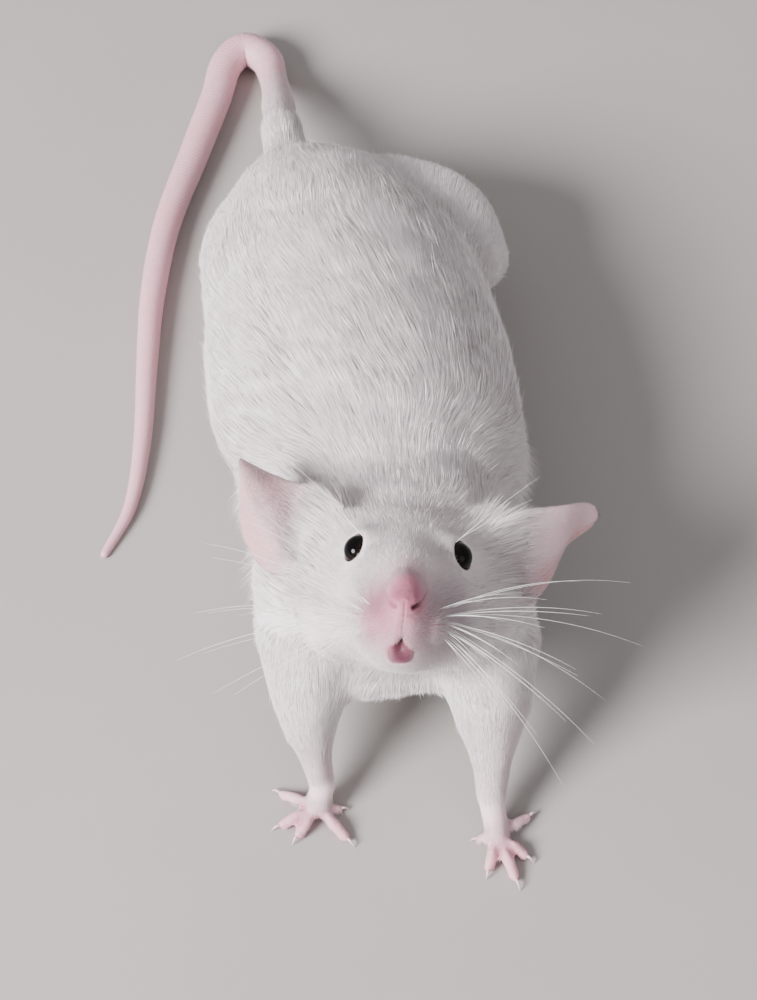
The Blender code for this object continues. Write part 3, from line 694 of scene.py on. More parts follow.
# Round each eye the coat parts and lies short, clear of the lids.
for side, aside in SIDES:
    off = points - np.array(eye_centre(aside))
    apart = np.linalg.norm(off, axis=1)
    off = off / np.maximum(apart, 0.1)[:, None]
    close = np.exp(-np.clip(apart - 2.0, 0, None) / 2.6)
    heading_in = np.clip(-(lie * off).sum(axis=1), 0, None)
    lie = unit(lie + off * (heading_in * close * 1.25)[:, None])
    length = np.minimum(length, 0.5 + 0.9 * np.clip(apart - 1.9, 0, None) + 5.0 * (apart > 6))
    density = np.where(apart < 1.97, 0, density)


def ripple(places, wavelength, seed):
    """A smooth random field between about -1 and 1."""
    draw = np.random.default_rng(seed)
    waves = unit(draw.normal(size=(7, 3))) * (2 * math.pi / wavelength) * draw.uniform(0.6, 1.5, (7, 1))
    return np.sin(places @ waves.T + draw.uniform(0, 6.28, 7)).sum(axis=1) / 2.6


def eased(where, rounds):
    """The hide's points, worked smooth as far as the mark at each says."""
    return points + where[:, None] * (spread(points, rounds) - points)


# The hide lies under the coat by the coat's depth, and flat where it meets the floor.
mesh.update()
normal = unit(vertex_array(mesh, "normal"))
points = points - normal * depth[:, None]
points = eased(np.clip((depth - 0.1) / 0.3, 0, 1), 6)

# Loose skin lies smooth over the trunk and runs into the tail without a step, in slight soft swells.
on_trunk = spread(np.clip((depth[:, None] - 0.5) / 0.2, 0, 1), 10)[:, 0]
points = eased(on_trunk, 45)
rump_end = (1.8, 51.0, 9.6)
at_root, filled = spot(points, rump_end, 8.5, 4), 0.3 * spot(points, rump_end, 7.0)
points = eased(at_root, 36)
swells = 0.09 * ripple(points, 7.5, 11) + 0.03 * ripple(points, 3.5, 12)
points = points + normal * (on_trunk * swells + filled)[:, None]

# The nose runs up into the bridge without a crease.
at = head_places(points)
on_nose = spot(at, (-1.6, 0.0, 0.7), 3.5, 4)
points = eased(on_nose, 150)
points = eased(spot(at, (-3.8, 0.0, 2.4), 2.7), 110)
points = points + normal * (0.45 * spot(at, (-4.6, 0.0, 3.2), 1.7))[:, None]

# How far each place on an ear lies towards the lower rim, and how far out from the head.
ear_rim, ear_out = np.zeros(n_points), np.zeros(n_points)
for side, _ in SIDES:
    here = owner == "ear_" + side
    sheet = ear_sheets[side][:, ::2]
    flat = sheet.reshape(-1, 3)
    nearest = ((points[here][:, None, :] - flat[None]) ** 2).sum(axis=2).argmin(axis=1)
    row, column = nearest // sheet.shape[1], nearest % sheet.shape[1]
    ear_rim[here] = np.clip(column / sheet.shape[1] * 5.0 - 2.6, 0, 1)
    ear_out[here] = np.clip(row / len(sheet) * 4.5 - 1.1, 0, 1)
ear_rim = spread(ear_rim[:, None], 5)[:, 0]
ear_out = spread(ear_out[:, None], 8)[:, 0]


def mark(places, path, half):
    """How near places lie to a line, from 1 on it to 0 well outside half its width."""
    least = np.full(len(places), 1e9)
    for a, b in zip(np.array(path, float)[:-1], np.array(path, float)[1:]):
        share = np.clip(((places - a) @ (b - a)) / ((b - a) @ (b - a)), 0, 1)
        least = np.minimum(least, np.linalg.norm(places - a - share[:, None] * (b - a), axis=1))
    return np.exp(-((least / half) ** 2))


# Nose and mouth: two comma nostrils, the groove below them, the split lip and the small lower lip.
mesh.vertices.foreach_set("co", (points * MM).astype(np.float32).ravel())
mesh.update()
normal = unit(vertex_array(mesh, "normal"))
at = head_places(points)
front = np.clip((at[:, 0] + 4.1) / 0.8, 0, 1)
mirrored = np.stack([np.abs(at[:, 1]), at[:, 2]], axis=1)
nostril = mark(mirrored, ((0.98, -0.34), (1.1, -0.3), (1.3, -0.12)), 0.24) * front
wing = mark(mirrored, ((1.45, 0.05), (1.8, 0.5), (2.15, 1.15), (2.4, 1.9)), 0.17) * front
wing *= np.clip(1.3 - (mirrored[:, 1] + 0.1) / 2.0, 0, 1)
under_pad = mark(mirrored, ((0.35, -1.2), (0.9, -1.14), (1.4, -0.78), (1.6, -0.4)), 0.14) * front
septum = mark(at[:, 1:], ((0.0, 0.2), (0.0, -1.2)), 0.12) * front
groove = mark(at[:, 1:], ((0.0, -1.2), (-0.05, -3.5)), 0.12) * front
fall_open = np.clip(-(at[:, 2] + 3.4) / 1.1, 0, 1)
gape = mark(at[:, 1:], ((-0.05, -3.5), (-0.1, -4.75)), 0.13 + 0.55 * fall_open**1.6) * front
lip_line = mark(mirrored, ((0.6, -4.75), (1.2, -4.9), (2.2, -5.4), (3.2, -6.2)), 0.15)
lip_line *= np.clip((at[:, 0] + 6) / 2, 0, 1)
lip_line *= np.clip(1.6 - mirrored[:, 0] / 1.6, 0, 1)
lower_lip = patch(at[:, 1:], (-0.1, -5.4), (1.15, 1.0)) * front
lip_rim = mark(mirrored, ((0.0, -6.45), (0.6, -6.3), (1.1, -5.85), (1.3, -5.2)), 0.15) * front
split = mark(mirrored, ((0.62, -1.7), (0.85, -2.9), (0.95, -4.2)), 0.5) * front
wing_swell = mark(mirrored, ((1.25, 0.3), (1.0, 0.75)), 0.5) * front

# The left nostril, on the side turned away from the key lamp, is pressed deeper and painted darker than the
# right one: its extra dark is painted shade.
shaded_side = 0.4 + 0.6 * np.clip(at[:, 1] + 0.5, 0, 1)
wing *= shaded_side
under_pad *= shaded_side
nostril *= shaded_side
press = 0.65 * nostril + 0.1 * wing + 0.07 * under_pad + 0.07 * septum + 0.06 * groove + 0.85 * gape
press += 0.08 * lip_line + 0.14 * lip_rim

# Between the digits the skin is carved back to the palm and painted deep red there: partly the webs' own
# red, partly painted shade between the digits.
web = np.zeros(n_points)
for side, aside in SIDES:
    palm = np.array([*FOREPAW[side]["palm"], 1.0])
    headings = [degrees for degrees, _ in FOREPAW[side]["digits"]]
    for one, other in zip(headings, headings[1:]):
        reach = max(1.7, DIGIT_HALF / math.sin(math.radians(other - one) / 2)) - 0.1
        gap = palm + reach * np.array(heading_vector((one + other) / 2, aside))
        web = np.maximum(web, spot(points, gap, 0.75))
press += 0.35 * web
swell = 0.4 * lower_lip + 0.05 * split + 0.08 * wing_swell + 0.2 * on_nose
swell = swell + 0.16 * ear_rim * (owner == "ear_right")
points = points + normal * (swell - press)[:, None]

# Each eye is ringed by thin lids that cling to the ball. It faces out and a little forwards and up.
LID_HALF = 1.57
EYE_FACES = (0.45, 0.81, 0.375)
lid, round_it = np.zeros(n_points), np.zeros(n_points)
for side, aside in SIDES:
    centre = np.array(eye_centre(aside))
    axis = unit(ahead * EYE_FACES[0] + left * (EYE_FACES[1] * aside) + up * EYE_FACES[2])
    fore = unit(ahead - axis * (ahead @ axis))
    rise = np.cross(axis, fore)
    away = points - centre
    height = away @ axis
    x, y = away @ fore, away @ rise
    reach = np.hypot(x, y)
    turn = np.arctan2(y, x)
    opening = LID_HALF + 0.03 * np.clip(np.cos(turn), 0, 1) ** 8
    here = (reach < 4.6) & (height > -3.4) & (height < 3.0)
    crest = np.sqrt(np.maximum(EYE_RADIUS**2 - opening**2, 0.2)) + 0.1
    fall = np.clip((reach - opening - 0.12) / (4.4 - opening - 0.12), 0, 1)
    ease = 1 - fall * fall * (3 - 2 * fall)
    lipped = height + (crest - height) * ease**2.6
    hollow = np.clip((opening + 0.02 - reach) / 0.08, 0, 1)
    shaped = lipped * (1 - hollow) + (-0.4) * hollow
    points[here] += (axis * (shaped - height)[:, None])[here]
    ring = np.exp(-(((reach - 4.3) / 1.5) ** 2)) * np.clip(reach - 2.0, 0, 1) * (np.abs(height) < 4.5)
    round_it = np.maximum(round_it, ring)
    rim_dark = np.exp(-((np.clip(reach - opening, 0, None) / 0.14) ** 2))
    lid = np.maximum(lid, np.where(here, rim_dark, 0))
points = eased(round_it, 130)
points[:, 2] = np.maximum(points[:, 2], 0.0)

mesh.vertices.foreach_set("co", (points * MM).astype(np.float32).ravel())
mesh.update()
mesh.shade_smooth()
normal = unit(vertex_array(mesh, "normal"))


def keep(mesh, name, values):
    """Stores one number for each point, for the finish to read."""
    layer = mesh.attributes.new(name, "FLOAT", "POINT")
    layer.data.foreach_set("value", np.asarray(values, np.float32))


# Where the skin is flushed or naked, where its lid rims are dark, and where shade is painted into it: in
# nostrils, slits, grooves and mouth, in creases, webs, the right ear's bowl and the whisker beds. For the
# finish of skin and coat alike.
# Painted shade in nostrils, nose slits, grooves, gape and lip lines; the lid rims are dark in their own
# colour.
dark = 0.85 * nostril + 0.4 * wing + 0.16 * under_pad + 0.12 * septum + 0.9 * gape + 0.12 * lip_line
dark = np.clip(dark + 0.18 * groove + 0.3 * lip_rim + 0.9 * lid, 0, 1)
is_ear = np.char.startswith(owner.astype(str), "ear")
flush = np.clip(pink * 0.95 + lower_lip, 0, 1)
# Painted shade: the lower lip's dark colour is carried up into the gape's notch.
gape_shade = mark(at[:, 1:], ((-0.05, -4.0), (-0.1, -4.9)), 0.8) * front
# Painted shade: bare skin is darkened in colour in its creases and hollows, by how far it sinks below its
# neighbours.
hollow = ((spread(points, 12) - points) * normal).sum(axis=1) / 0.06
marks = {
    "bare": np.clip(bare, 0, 1),
    "flush": flush,
    "lip": np.maximum(lower_lip, 0.75 * gape_shade),
    "hollow": np.clip(hollow, 0, 1) * np.clip(bare * 1.3 - 0.3, 0, 1),
    "ear_rim": ear_rim * ear_out,
    # Painted shade: the right ear's bowl, turned away from the key lamp, is darkened in colour.
    "concha": np.where(owner == "ear_right", 1 - ear_rim, 0) * ear_out,
    "web": web,
    # Painted shade: the skin of the whisker beds is darkened between the hairs.
    "bed": np.where(on_face, whisker_bed, 0),
    "dark": dark,
    "ear": spread((is_ear * ear_out)[:, None], 6)[:, 0],
}
for name, values in marks.items():
    keep(mesh, name, values)


class Finish:
    """A material being mixed: each call adds one step and returns its output."""

    def __init__(self, name):
        self.material = bpy.data.materials.new(name)
        self.material.use_nodes = True
        self.tree = self.material.node_tree
        self.shader = self.tree.nodes["Principled BSDF"]

    def node(self, kind, inputs=(), **settings):
        made = self.tree.nodes.new(kind)
        for key, value in settings.items():
            setattr(made, key, value)
        for key, value in dict(inputs).items():
            self.feed(made.inputs[key], value)
        return made

    def feed(self, socket, value):
        if isinstance(value, bpy.types.NodeSocket):
            self.tree.links.new(value, socket)
        else:
            socket.default_value = value

    def stored(self, name):
        return self.node("ShaderNodeAttribute", attribute_name=name).outputs["Fac"]

    def places(self):
        return self.node("ShaderNodeTexCoord").outputs["Object"]

    def noise(self, scale, detail=3.0):
        inputs = {"Vector": self.places(), "Scale": scale, "Detail": detail, "Roughness": 0.55}
        return self.node("ShaderNodeTexNoise", inputs).outputs["Fac"]

    def scaled(self, value, by):
        return self.node("ShaderNodeMath", {0: value, 1: by}, operation="MULTIPLY").outputs[0]

    def blend(self, share, a, b):
        made = self.node("ShaderNodeMix", data_type="RGBA")
        for index, value in ((0, share), (6, a), (7, b)):
            if isinstance(value, tuple):
                value = (*value, 1.0)
            self.feed(made.inputs[index], value)
        return made.outputs[2]

    def layered(self, base, *layers):
        """Colours laid one over another, each as strong as its share says."""
        for share, colour in layers:
            base = self.blend(share, base, colour)
        return base

    def stretch(self, value, low, high, to_low=0.0, to_high=1.0):
        inputs = {0: value, 1: low, 2: high, 3: to_low, 4: to_high}
        return self.node("ShaderNodeMapRange", inputs).outputs[0]

    def bump(self, height, distance, strength=1.0):
        inputs = {"Height": height, "Distance": distance, "Strength": strength}
        self.feed(self.shader.inputs["Normal"], self.node("ShaderNodeBump", inputs).outputs["Normal"])

    def set(self, **values):
        for name, value in values.items():
            socket = self.shader.inputs[name.replace("_", " ")]
            if isinstance(value, tuple) and len(value) == 3 and socket.type == "RGBA":
                value = (*value, 1.0)
            self.feed(socket, value)


# White to rosy skin, thin enough for light to sink in: pink where it is naked, deeper at the lips and along
# the ears' rims, red in the webs with painted shade between the digits, painted shade in the right ear's
# bowl, in creases, nostrils, grooves and mouth, and dusky under the whiskers with painted shade between the
# hairs.
skin = Finish("hide")
mottle = skin.stretch(skin.noise(900.0, 4.0), 0.3, 0.7)
blush = skin.stretch(skin.noise(260.0, 2.0), 0.35, 0.65)
tone = skin.layered(
    (0.92, 0.865, 0.86),
    (skin.stored("bare"), (0.71, 0.36, 0.44)),
    # Dusky whisker beds: painted shade between the hairs.
    (skin.stored("bed"), (0.34, 0.23, 0.25)),
    (skin.stored("ear"), (0.68, 0.50, 0.56)),
    # Painted shade in the right ear's bowl.
    (skin.stored("concha"), (0.26, 0.16, 0.17)),
    (skin.stored("ear_rim"), (0.54, 0.29, 0.305)),
    (skin.scaled(blush, skin.scaled(skin.stored("bare"), 0.4)), (0.80, 0.40, 0.42)),
    # Painted shade in the creases of bare skin.
    (skin.stored("hollow"), (0.58, 0.24, 0.29)),
    (skin.stored("flush"), (0.39, 0.12, 0.19)),
    # The lower lip's own deep colour, with painted shade in the gape's notch.
    (skin.stored("lip"), (0.10, 0.015, 0.045)),
    # Webs between the digits: their own red, with painted shade between the digits.
    (skin.scaled(skin.stored("web"), 0.9), (0.42, 0.07, 0.12)),
    (skin.scaled(mottle, 0.08), (0.86, 0.68, 0.68)),
    # Painted shade in nostrils, slits, grooves and mouth, and the lid rims' own dark.
    (skin.stored("dark"), (0.10, 0.025, 0.035)),
)
skin.set(Base_Color=tone, Specular_IOR_Level=0.35, Roughness=skin.stretch(mottle, 0.0, 1.0, 0.42, 0.6))
skin.set(Subsurface_Weight=0.5, Subsurface_Radius=(1.0, 0.62, 0.56), Subsurface_Scale=0.0004)
skin.bump(skin.noise(4200.0, 4.0), 0.00006, 0.6)
hide.data.materials.clear()
hide.data.materials.append(skin.material)


def settle_in(obj):
    """Moves a piece from the middle of the body to its place in the frame, and fixes it there."""
    obj.data.transform(Matrix.Translation(HOME * MM))
    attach(obj, "root")


settle_in(hide)
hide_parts(*[name for name in frame["nodes"] if not name.startswith("eye")])


# ---- Eyes
# Black glass-bright balls set deep behind the lids: a dark brown iris round a wide pupil, under a clear
# bulging cornea that is always wet.
for side, aside in SIDES:
    ball = bmesh.new()
    bmesh.ops.create_uvsphere(ball, u_segments=64, v_segments=40, radius=EYE_RADIUS * MM)
    for v in ball.verts:
        pole = v.co.z / (EYE_RADIUS * MM)
        v.co *= 1 + 0.03 * max(pole - 0.55, 0) / 0.45
    axis = (AHEAD * EYE_FACES[0] + LEFT * (EYE_FACES[1] * aside) + UP * EYE_FACES[2]).normalized()
    centre = eye_centre(aside)
    ball.transform(axis.to_track_quat("Z", "Y").to_matrix().to_4x4())
    ball.transform(Matrix.Translation(centre * MM))
    eye = new_object("eyeball_" + side, ball)
    eye.data.shade_smooth()
    from_centre = vertex_array(eye.data) / MM - np.array(centre)
    keep(eye.data, "pole", from_centre @ np.array(axis) / EYE_RADIUS)
    glass = Finish("eye_" + side)
    iris = glass.stretch(glass.stored("pole"), 0.62, 0.78)
    fibres = glass.stretch(glass.noise(2600.0), 0.35, 0.7)
    brown = glass.blend(fibres, (0.004, 0.0025, 0.002), (0.010, 0.006, 0.005))
    glass.set(Base_Color=glass.blend(iris, brown, (0.0015, 0.0015, 0.002)), IOR=1.36)
    glass.set(Roughness=glass.stretch(fibres, 0, 1, 0.03, 0.07), Specular_IOR_Level=0.22)
    eye.data.materials.append(glass.material)
    settle_in(eye)
    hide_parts("eye_" + side)


# ---- Coat
# Short white fur: fine tapering locks that grow out of the hide, overlap like thatch and follow the lie of
# the coat. Each lock is a three-sided blade of a few hairs; on the face they are single short hairs.
rng = np.random.default_rng(7)
TRIANGLE_CAP = 192000
ROOT_DEPTH = 0.12

# A coarse copy of the hide is opened out flat, and each lock takes a small patch of it round its root.
PATCH_RADIUS = 0.0014
pattern = hide.copy()
pattern.data = hide.data.copy()
bpy.context.scene.collection.objects.link(pattern)
fuse(pattern, 1.1, 2)
bpy.context.view_layer.objects.active = pattern
for obj in bpy.context.view_layer.objects:
    obj.select_set(obj is pattern)
bpy.ops.object.mode_set(mode="EDIT")
bpy.ops.mesh.select_all(action="SELECT")
bpy.ops.mesh.quads_convert_to_tris()
bpy.ops.uv.smart_project(angle_limit=math.radians(66), island_margin=0.004)
bpy.ops.object.mode_set(mode="OBJECT")
flat = pattern.data
flat_corners = vertex_array(flat)
flat_faces = read(flat.loops, "vertex_index", 1, np.int32).reshape(-1, 3)
flat_uv = read(flat.uv_layers.active.data, "uv", 2).reshape(-1, 3, 2)
flat_tree = BVHTree.FromPolygons(flat_corners.tolist(), flat_faces.tolist())
bpy.data.objects.remove(pattern)


def place_on_pattern(roots):
    """Where roots, in metres in the frame, lie on the opened-out hide."""
    found = [flat_tree.find_nearest(Vector(r)) for r in roots]
    landed, face = (np.array([f[k] for f in found]) for k in (0, 2))
    a, b, c = (flat_corners[flat_faces[face, k]] for k in range(3))
    whole = np.cross(b - a, c - a)
    size = (whole**2).sum(axis=1)
    w_b = (np.cross(landed - a, c - a) * whole).sum(axis=1) / size
    w_c = (np.cross(b - a, landed - a) * whole).sum(axis=1) / size
    weights = np.clip(np.stack([1 - w_b - w_c, w_b, w_c], axis=1), 0, 1)
    return (flat_uv[face] * weights[..., None]).sum(axis=1)


mesh.calc_loop_triangles()
triangles = read(mesh.loop_triangles, "vertices", 3, np.int32).reshape(-1, 3)
a, b, c = (points[triangles[:, k]] for k in range(3))
area = np.linalg.norm(np.cross(b - a, c - a), axis=1) / 2
density[(dark > 0.3) | (lower_lip > 0.12) | (points[:, 2] < 0.05)] = 0
skin_tree = BVHTree.FromPolygons(points.tolist(), triangles.tolist())

# The fine hairs among the whiskers grow thin and are painted grey as shade between them: a little on both
# sides, much more on the left cheek, the side turned away from the key lamp.
at = head_places(points)
bed_grey_shade = np.where(on_face, whisker_bed, 0) * (0.15 + 0.6 * np.clip(at[:, 1] / 2 - 0.2, 0, 1))


def laid(ends, least, most):
    """Moves lock ends up or down so that each lies between two heights over the hide."""
    found = [skin_tree.find_nearest(Vector(e)) for e in ends]
    under, facing = (np.array([f[k] for f in found]) for k in (0, 1))
    height = ((ends - under) * facing).sum(axis=1)
    return ends + facing * (np.clip(height, least, most) - height)[:, None]


def add_strands(name, where, clump=0.2, loose=0.0, heading=None):
    """Grows one piece of the coat, as thick as the mark at each face says.

    Neighbours lean together by the clump, and loose locks stand that many degrees further out.
    """
    most = TRIANGLE_CAP // 4
    chance = area * density[triangles].mean(axis=1) * where[triangles[:, 0]]
    total = np.cumsum(chance)
    wanted = int(min(most, total[-1]))
    picks = np.searchsorted(total, (np.arange(wanted) + rng.random(wanted)) / wanted * total[-1])
    picks = np.minimum(picks, len(total) - 1)
    shares = rng.dirichlet((1, 1, 1), wanted)[..., None]

    def mix(values):
        return (values[triangles[picks]] * shares).sum(axis=1)

    root, out, flow = mix(points), unit(mix(normal)), mix(lie)
    thin = np.sqrt(total[-1] / wanted) if total[-1] > wanted else 1.0
    stored = np.stack([length, width, lift, bare, flush, bed_grey_shade], axis=1)
    far, wide, raise_by, naked, rosy, grey_shade = mix(stored).T
    if heading is not None:
        flow = np.tile(heading, (wanted, 1))
    flow = unit(flow - out * (flow * out).sum(axis=1)[:, None])
    beside = np.cross(out, flow)

    # No two locks are alike: each sways, lifts and grows a little its own way.
    sway = 0.12 * ripple(root, 8.0, 1) + 0.05 * ripple(root, 2.6, 2) + rng.normal(0, 0.06, wanted)
    flow = flow * np.cos(sway)[:, None] + beside * np.sin(sway)[:, None]
    beside = np.cross(out, flow)
    far = far * (1 + 0.08 * ripple(root, 4.0, 3)) * rng.uniform(0.72, 1.15, wanted)
    stray = rng.random(wanted) < 0.02
    uneven = 0.4 + raise_by / 12
    tilt = raise_by + uneven * (rng.normal(0, 1.4, wanted) + 0.4 * ripple(root, 2.2, 4)) + 8.0 * stray
    tilt = np.radians(tilt + loose)
    wide = wide * rng.uniform(0.7, 1.3, wanted) * min(thin, 1.6)

    # Locks draw together at their tips, and the long ones are laid back on the hide.
    foot = root - out * ROOT_DEPTH
    rising = flow * np.cos(tilt)[:, None] + out * np.sin(tilt)[:, None]
    tip = foot + rising * far[:, None]
    leaders = rng.choice(wanted, max(wanted // 9, 1), replace=False)
    tree = KDTree(len(leaders))
    for i, k in enumerate(leaders):
        tree.insert(root[k], i)
    tree.balance()
    leader = leaders[[tree.find(r)[1] for r in root]]
    pull = clump * np.clip(1.5 - np.linalg.norm(root - root[leader], axis=1) / far, 0, 1)[:, None]
    tip = tip + pull * (tip[leader] + 0.35 * (root - root[leader]) - tip)
    if far.mean() > 1.0 and not loose:
        tip = laid(tip, 0.12 + 0.1 * rng.random(wanted), 0.3 + far * np.sin(np.clip(tilt, 0, 1.5)))

    # Each lock is a ridged base and a point, and stays above the ground.
    left_side = foot - beside * (wide / 2)[:, None]
    right_side = foot + beside * (wide / 2)[:, None]
    ridge = foot + out * (wide * 0.42)[:, None]
    places = np.stack([left_side, right_side, ridge, tip], axis=1)
    places[..., 2] = np.maximum(places[..., 2], 0.03)
    k = places.shape[1]
    sides = np.array([(0, 1, 3), (1, 2, 3), (2, 0, 3), (0, 2, 1)])
    loops = (sides[None] + np.arange(wanted)[:, None, None] * k).ravel()
    made = bpy.data.meshes.new(name)
    made.vertices.add(wanted * k)
    made.vertices.foreach_set("co", (places * MM).astype(np.float32).ravel())
    made.loops.add(len(loops))
    made.loops.foreach_set("vertex_index", loops.astype(np.int32))
    made.polygons.add(len(loops) // 3)
    made.polygons.foreach_set("loop_start", np.arange(0, len(loops), 3, dtype=np.int32))
    made.update(calc_edges=True)
    made.shade_smooth()
    keep(made, "strand", np.tile((0.0, 0.0, 0.0, 1.0), wanted))
    for mark_name, values in (
        ("shade", rng.random(wanted)),
        ("bare", naked),
        ("flush", rosy),
        ("bed", grey_shade),
    ):
        keep(made, mark_name, np.repeat(np.clip(values, 0, 1), k))
    uv = place_on_pattern((root + np.array(HOME)) * MM)
    about = np.stack([np.cos(np.arange(k) * 2.4), np.sin(np.arange(k) * 2.4)], axis=1) * PATCH_RADIUS
    corner_uv = (uv[:, None, :] + about[None]).reshape(-1, 2)[loops]
    layer = made.uv_layers.new(name="OFBake")
    layer.data.foreach_set("uv", corner_uv.astype(np.float32).ravel())
    lean = np.zeros((wanted, k, 3))
    lean[:, 0], lean[:, 1] = -0.2 * beside, 0.2 * beside
    made.normals_split_custom_set_from_vertices(unit(out[:, None] + lean).reshape(-1, 3).tolist())
    obj = bpy.data.objects.new(name, made)
    bpy.context.scene.collection.objects.link(obj)
    obj.data.materials.append(fur.material)
    settle_in(obj)


# White hair that takes up the pink of the skin it grows on. Its root is rosier and darker than its tip:
# partly the pink skin showing through, partly painted shade deep in the coat. In the whisker beds it is
# painted grey as shade.
fur = Finish("fur")
tint = fur.layered(
    # Root colour, darkened as painted shade deep in the coat, lightening towards the tip.
    (0.86, 0.77, 0.785),
    (fur.stretch(fur.stored("strand"), 0.0, 0.5), (0.95, 0.875, 0.895)),
    (fur.scaled(fur.stored("shade"), 0.25), (0.84, 0.81, 0.80)),
    (fur.scaled(fur.stored("bare"), 0.75), (0.82, 0.50, 0.57)),
    (fur.scaled(fur.stored("flush"), 0.92), (0.37, 0.14, 0.205)),
    # Painted shade: the hairs of the whisker beds are greyed, most on the left cheek.
    (fur.stored("bed"), (0.42, 0.33, 0.38)),
    (fur.stretch(fur.noise(120.0), 0.4, 0.75, 0.0, 0.25), (0.86, 0.81, 0.78)),
)
fur.set(Base_Color=tint, Roughness=0.62, Specular_IOR_Level=0.25, Sheen_Weight=0.15, Sheen_Roughness=0.4)

# The coat is grown in ten pieces: face and crown, four layers over the trunk, the limbs, and the loose
# locks before the ears and under the chest. It thins out under the belly.
is_head = np.isin(owner, ("head", "nose"))
is_limb = np.zeros(n_points, bool)
LIMBS = ("forearm", "forepaw", "hindfoot", "upper_foreleg", "tail_2", "tail_3", "tail_4", "tail_5", "ear")
for stem in LIMBS:
    is_limb |= np.char.startswith(owner.astype(str), stem)
is_face = is_head & (at[:, 0] > -10.5)
is_leg = np.char.find(owner.astype(str), "fore") >= 0
underneath = np.clip(-normal[:, 2] * 1.5, 0, 1)
density = np.where(is_head | is_limb, density, density * (1 - 0.45 * underneath))
add_strands("coat_face", is_face, clump=0.2)
add_strands("coat_crown", is_head & ~is_face)
for layer in ("a", "b", "c", "d"):
    add_strands("coat_body_" + layer, ~is_head & ~is_limb, clump=0.25)
add_strands("coat_forelegs", is_limb & is_leg, clump=0.1)
add_strands("coat_ears_tail_feet", is_limb & ~is_leg, clump=0.12)
before_ears = np.clip(ear_fringe * 1.5 - 0.5, 0, 1) * 0.5
add_strands("coat_ear_tufts", before_ears, clump=0.3, loose=15.0)
under_chest = (owner == "chest") * np.clip(0.5 - normal[:, 2], 0, 1) * 0.42
add_strands("coat_chest_fringe", under_chest, clump=0.3, loose=26.0, heading=(0.0, -0.55, -0.85))


# ---- Claws
# Slender sheaths of pale, slightly clear horn over the last joint of each digit. They grow from a bed in
# the skin above the pad and curve down until their points meet the floor.
horn = bmesh.new()
for place, direction, reach, thick in claws:
    shares = (0.0, 0.3, 0.6, 0.85, 1.0)
    heights = (thick * 1.05, thick * 1.15, thick * 0.95, thick * 0.5, 0.08)
    radii = (0.18, 0.16, 0.12, 0.07, 0.03)
    spots = [place + direction * (reach * share) for share in shares]
    sizes = [r * thick / DIGIT_HALF for r in radii]
    tube(horn, [(p.x, p.y, z, r) for p, z, r in zip(spots, heights, sizes)], steps=3, sides=10)
claw = new_object("claws", horn)
claw.data.shade_smooth()
sheath = Finish("claw_horn")
grain = sheath.stretch(sheath.noise(1800.0), 0.3, 0.7)
sheath.set(Base_Color=sheath.blend(grain, (0.74, 0.50, 0.50), (0.84, 0.66, 0.64)), Roughness=0.32)
sheath.set(Subsurface_Weight=0.3, Subsurface_Radius=(1.0, 0.5, 0.4), Subsurface_Scale=0.0003)
sheath.bump(grain, 0.00002)
claw.data.materials.append(sheath.material)
settle_in(claw)


# ---- Whiskers
# Stiff tapering white bristles in rows on each whisker pad, longest at the back, with a few over each eye.
hide_tree = BVHTree.FromPolygons((points * MM).tolist(), triangles.tolist())
bristles = bmesh.new()


def add_whisker(ahead_by, up_by, aside, heading, reach, droop, thick=0.048):
    """A bristle from the hide beside a place on the head, bending as it goes.

    The heading is how far it points outwards, forwards and upwards on the head.
    """
    inner = on_head(ahead_by, aside * 0.4, up_by) * MM
    hit = hide_tree.ray_cast(inner, LEFT * aside)[0]
    if hit is None:
        return
    start = hit / MM
    out_by, fore_by, rise_by = heading
    direction = (LEFT * (aside * out_by) + AHEAD * fore_by + UP * rise_by).normalized()
    sag = (AHEAD * -0.35 + UP * -1.0) * droop
    keys = []
    for k in range(9):
        t = k / 8
        p = start + direction * (reach * t) + sag * (reach * t * t)
        keys.append((p.x, p.y, p.z, thick * (1 - 0.85 * t)))
    tube(bristles, keys, steps=2, sides=5)


for side, aside in SIDES:
    for row in range(5):
        for place in range(5):
            jitter = rng.uniform(-1, 1, 5)
            reach = (21.0 - 3.6 * place - 1.3 * abs(row - 1)) * (1 + 0.12 * jitter[0])
            rise_by = (0.5 if aside > 0 else 0.85) - 0.33 * row + 0.1 * jitter[2]
            heading = (1.0, -0.28 + 0.14 * place + 0.06 * jitter[1], rise_by)
            pore = (-6.0 + 0.72 * place + 0.1 * jitter[3], -0.7 - 0.72 * row)
            add_whisker(*pore, aside, heading, reach, 0.19 + 0.06 * jitter[4])
    for k in range(2):
        add_whisker(-11.8 - 0.8 * k, 5.6, aside, (0.75, -0.15, 0.75 - 0.2 * k), 12.5 - 2 * k, 0.08, 0.04)
whisker = new_object("whiskers", bristles)
whisker.data.shade_smooth()
bristle = Finish("whisker")
clouding = bristle.stretch(bristle.noise(300.0), 0.3, 0.7)
bristle.set(Base_Color=bristle.blend(clouding, (0.90, 0.88, 0.86), (0.97, 0.96, 0.95)), Roughness=0.3)
whisker.data.materials.append(bristle.material)
settle_in(whisker)


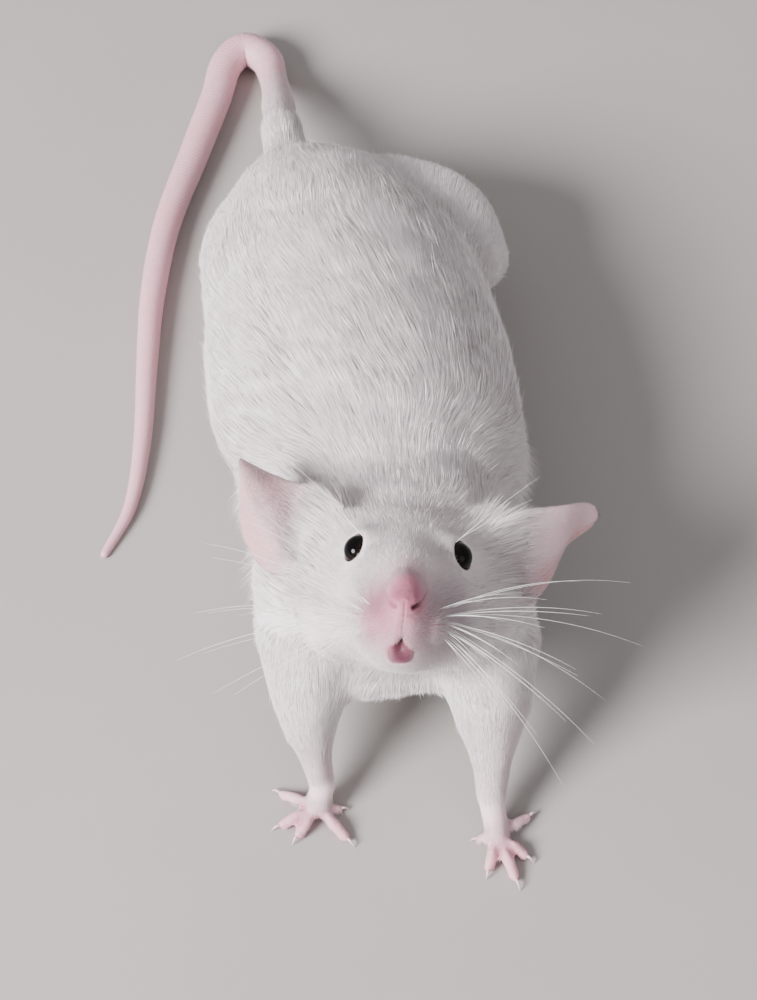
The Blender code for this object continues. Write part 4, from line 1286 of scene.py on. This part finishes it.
# ---- Floor, light and camera
# The mouse rests on a wide sheet of pale matt paper. One round soft lamp stands high on its right, a faint
# one fills from its left, and pale walls return the rest. It is seen from in front and well above.
sheet_of_paper = bmesh.new()
bmesh.ops.create_grid(sheet_of_paper, x_segments=2, y_segments=2, size=4.0)
floor = new_object("floor", sheet_of_paper)
paper = Finish("floor_paper")
pulp = paper.stretch(paper.noise(18.0), 0.3, 0.7)
paper.set(Base_Color=paper.blend(pulp, (0.36, 0.345, 0.33), (0.38, 0.365, 0.35)), Roughness=0.8)
floor.data.materials.append(paper.material)

world = bpy.data.worlds.new("studio")
bpy.context.scene.world = world
world.use_nodes = True
walls = world.node_tree.nodes["Background"]
walls.inputs["Color"].default_value = (0.98, 0.94, 0.95, 1.0)
walls.inputs["Strength"].default_value = 0.55


def softbox(name, place, size, power, colour):
    """A round soft lamp turned towards the mouse."""
    light = bpy.data.lights.new(name, "AREA")
    light.shape = "DISK"
    light.size = size
    light.energy = power
    light.color = colour
    lamp = bpy.data.objects.new(name, light)
    bpy.context.scene.collection.objects.link(lamp)
    lamp.location = place
    lamp.rotation_mode = "QUATERNION"
    lamp.rotation_quaternion = (Vector((0.0, -0.01, 0.02)) - Vector(place)).to_track_quat("-Z", "Y")


softbox("key", (-0.55, -0.22, 0.40), 0.32, 16.0, (1.0, 0.96, 0.96))
softbox("fill", (0.4, -0.55, 0.45), 0.5, 0.8, (0.95, 0.96, 1.0))

LENS = 93.744
ELEVATION, AZIMUTH = math.radians(58.0), math.radians(-12.0)
CAMERA_PLACE = Vector((-32.10, -166.59, 274.16))
camera = bpy.data.cameras.new("camera")
camera.lens = LENS
camera.sensor_width = 36.0
camera.clip_start = 0.01
view = bpy.data.objects.new("camera", camera)
bpy.context.scene.collection.objects.link(view)
along_floor = math.cos(ELEVATION)
gaze = Vector((-math.sin(AZIMUTH) * along_floor, math.cos(AZIMUTH) * along_floor, -math.sin(ELEVATION)))
view.location = (CAMERA_PLACE + HOME) * MM
view.rotation_mode = "QUATERNION"
view.rotation_quaternion = gaze.to_track_quat("-Z", "Y")
bpy.context.scene.camera = view
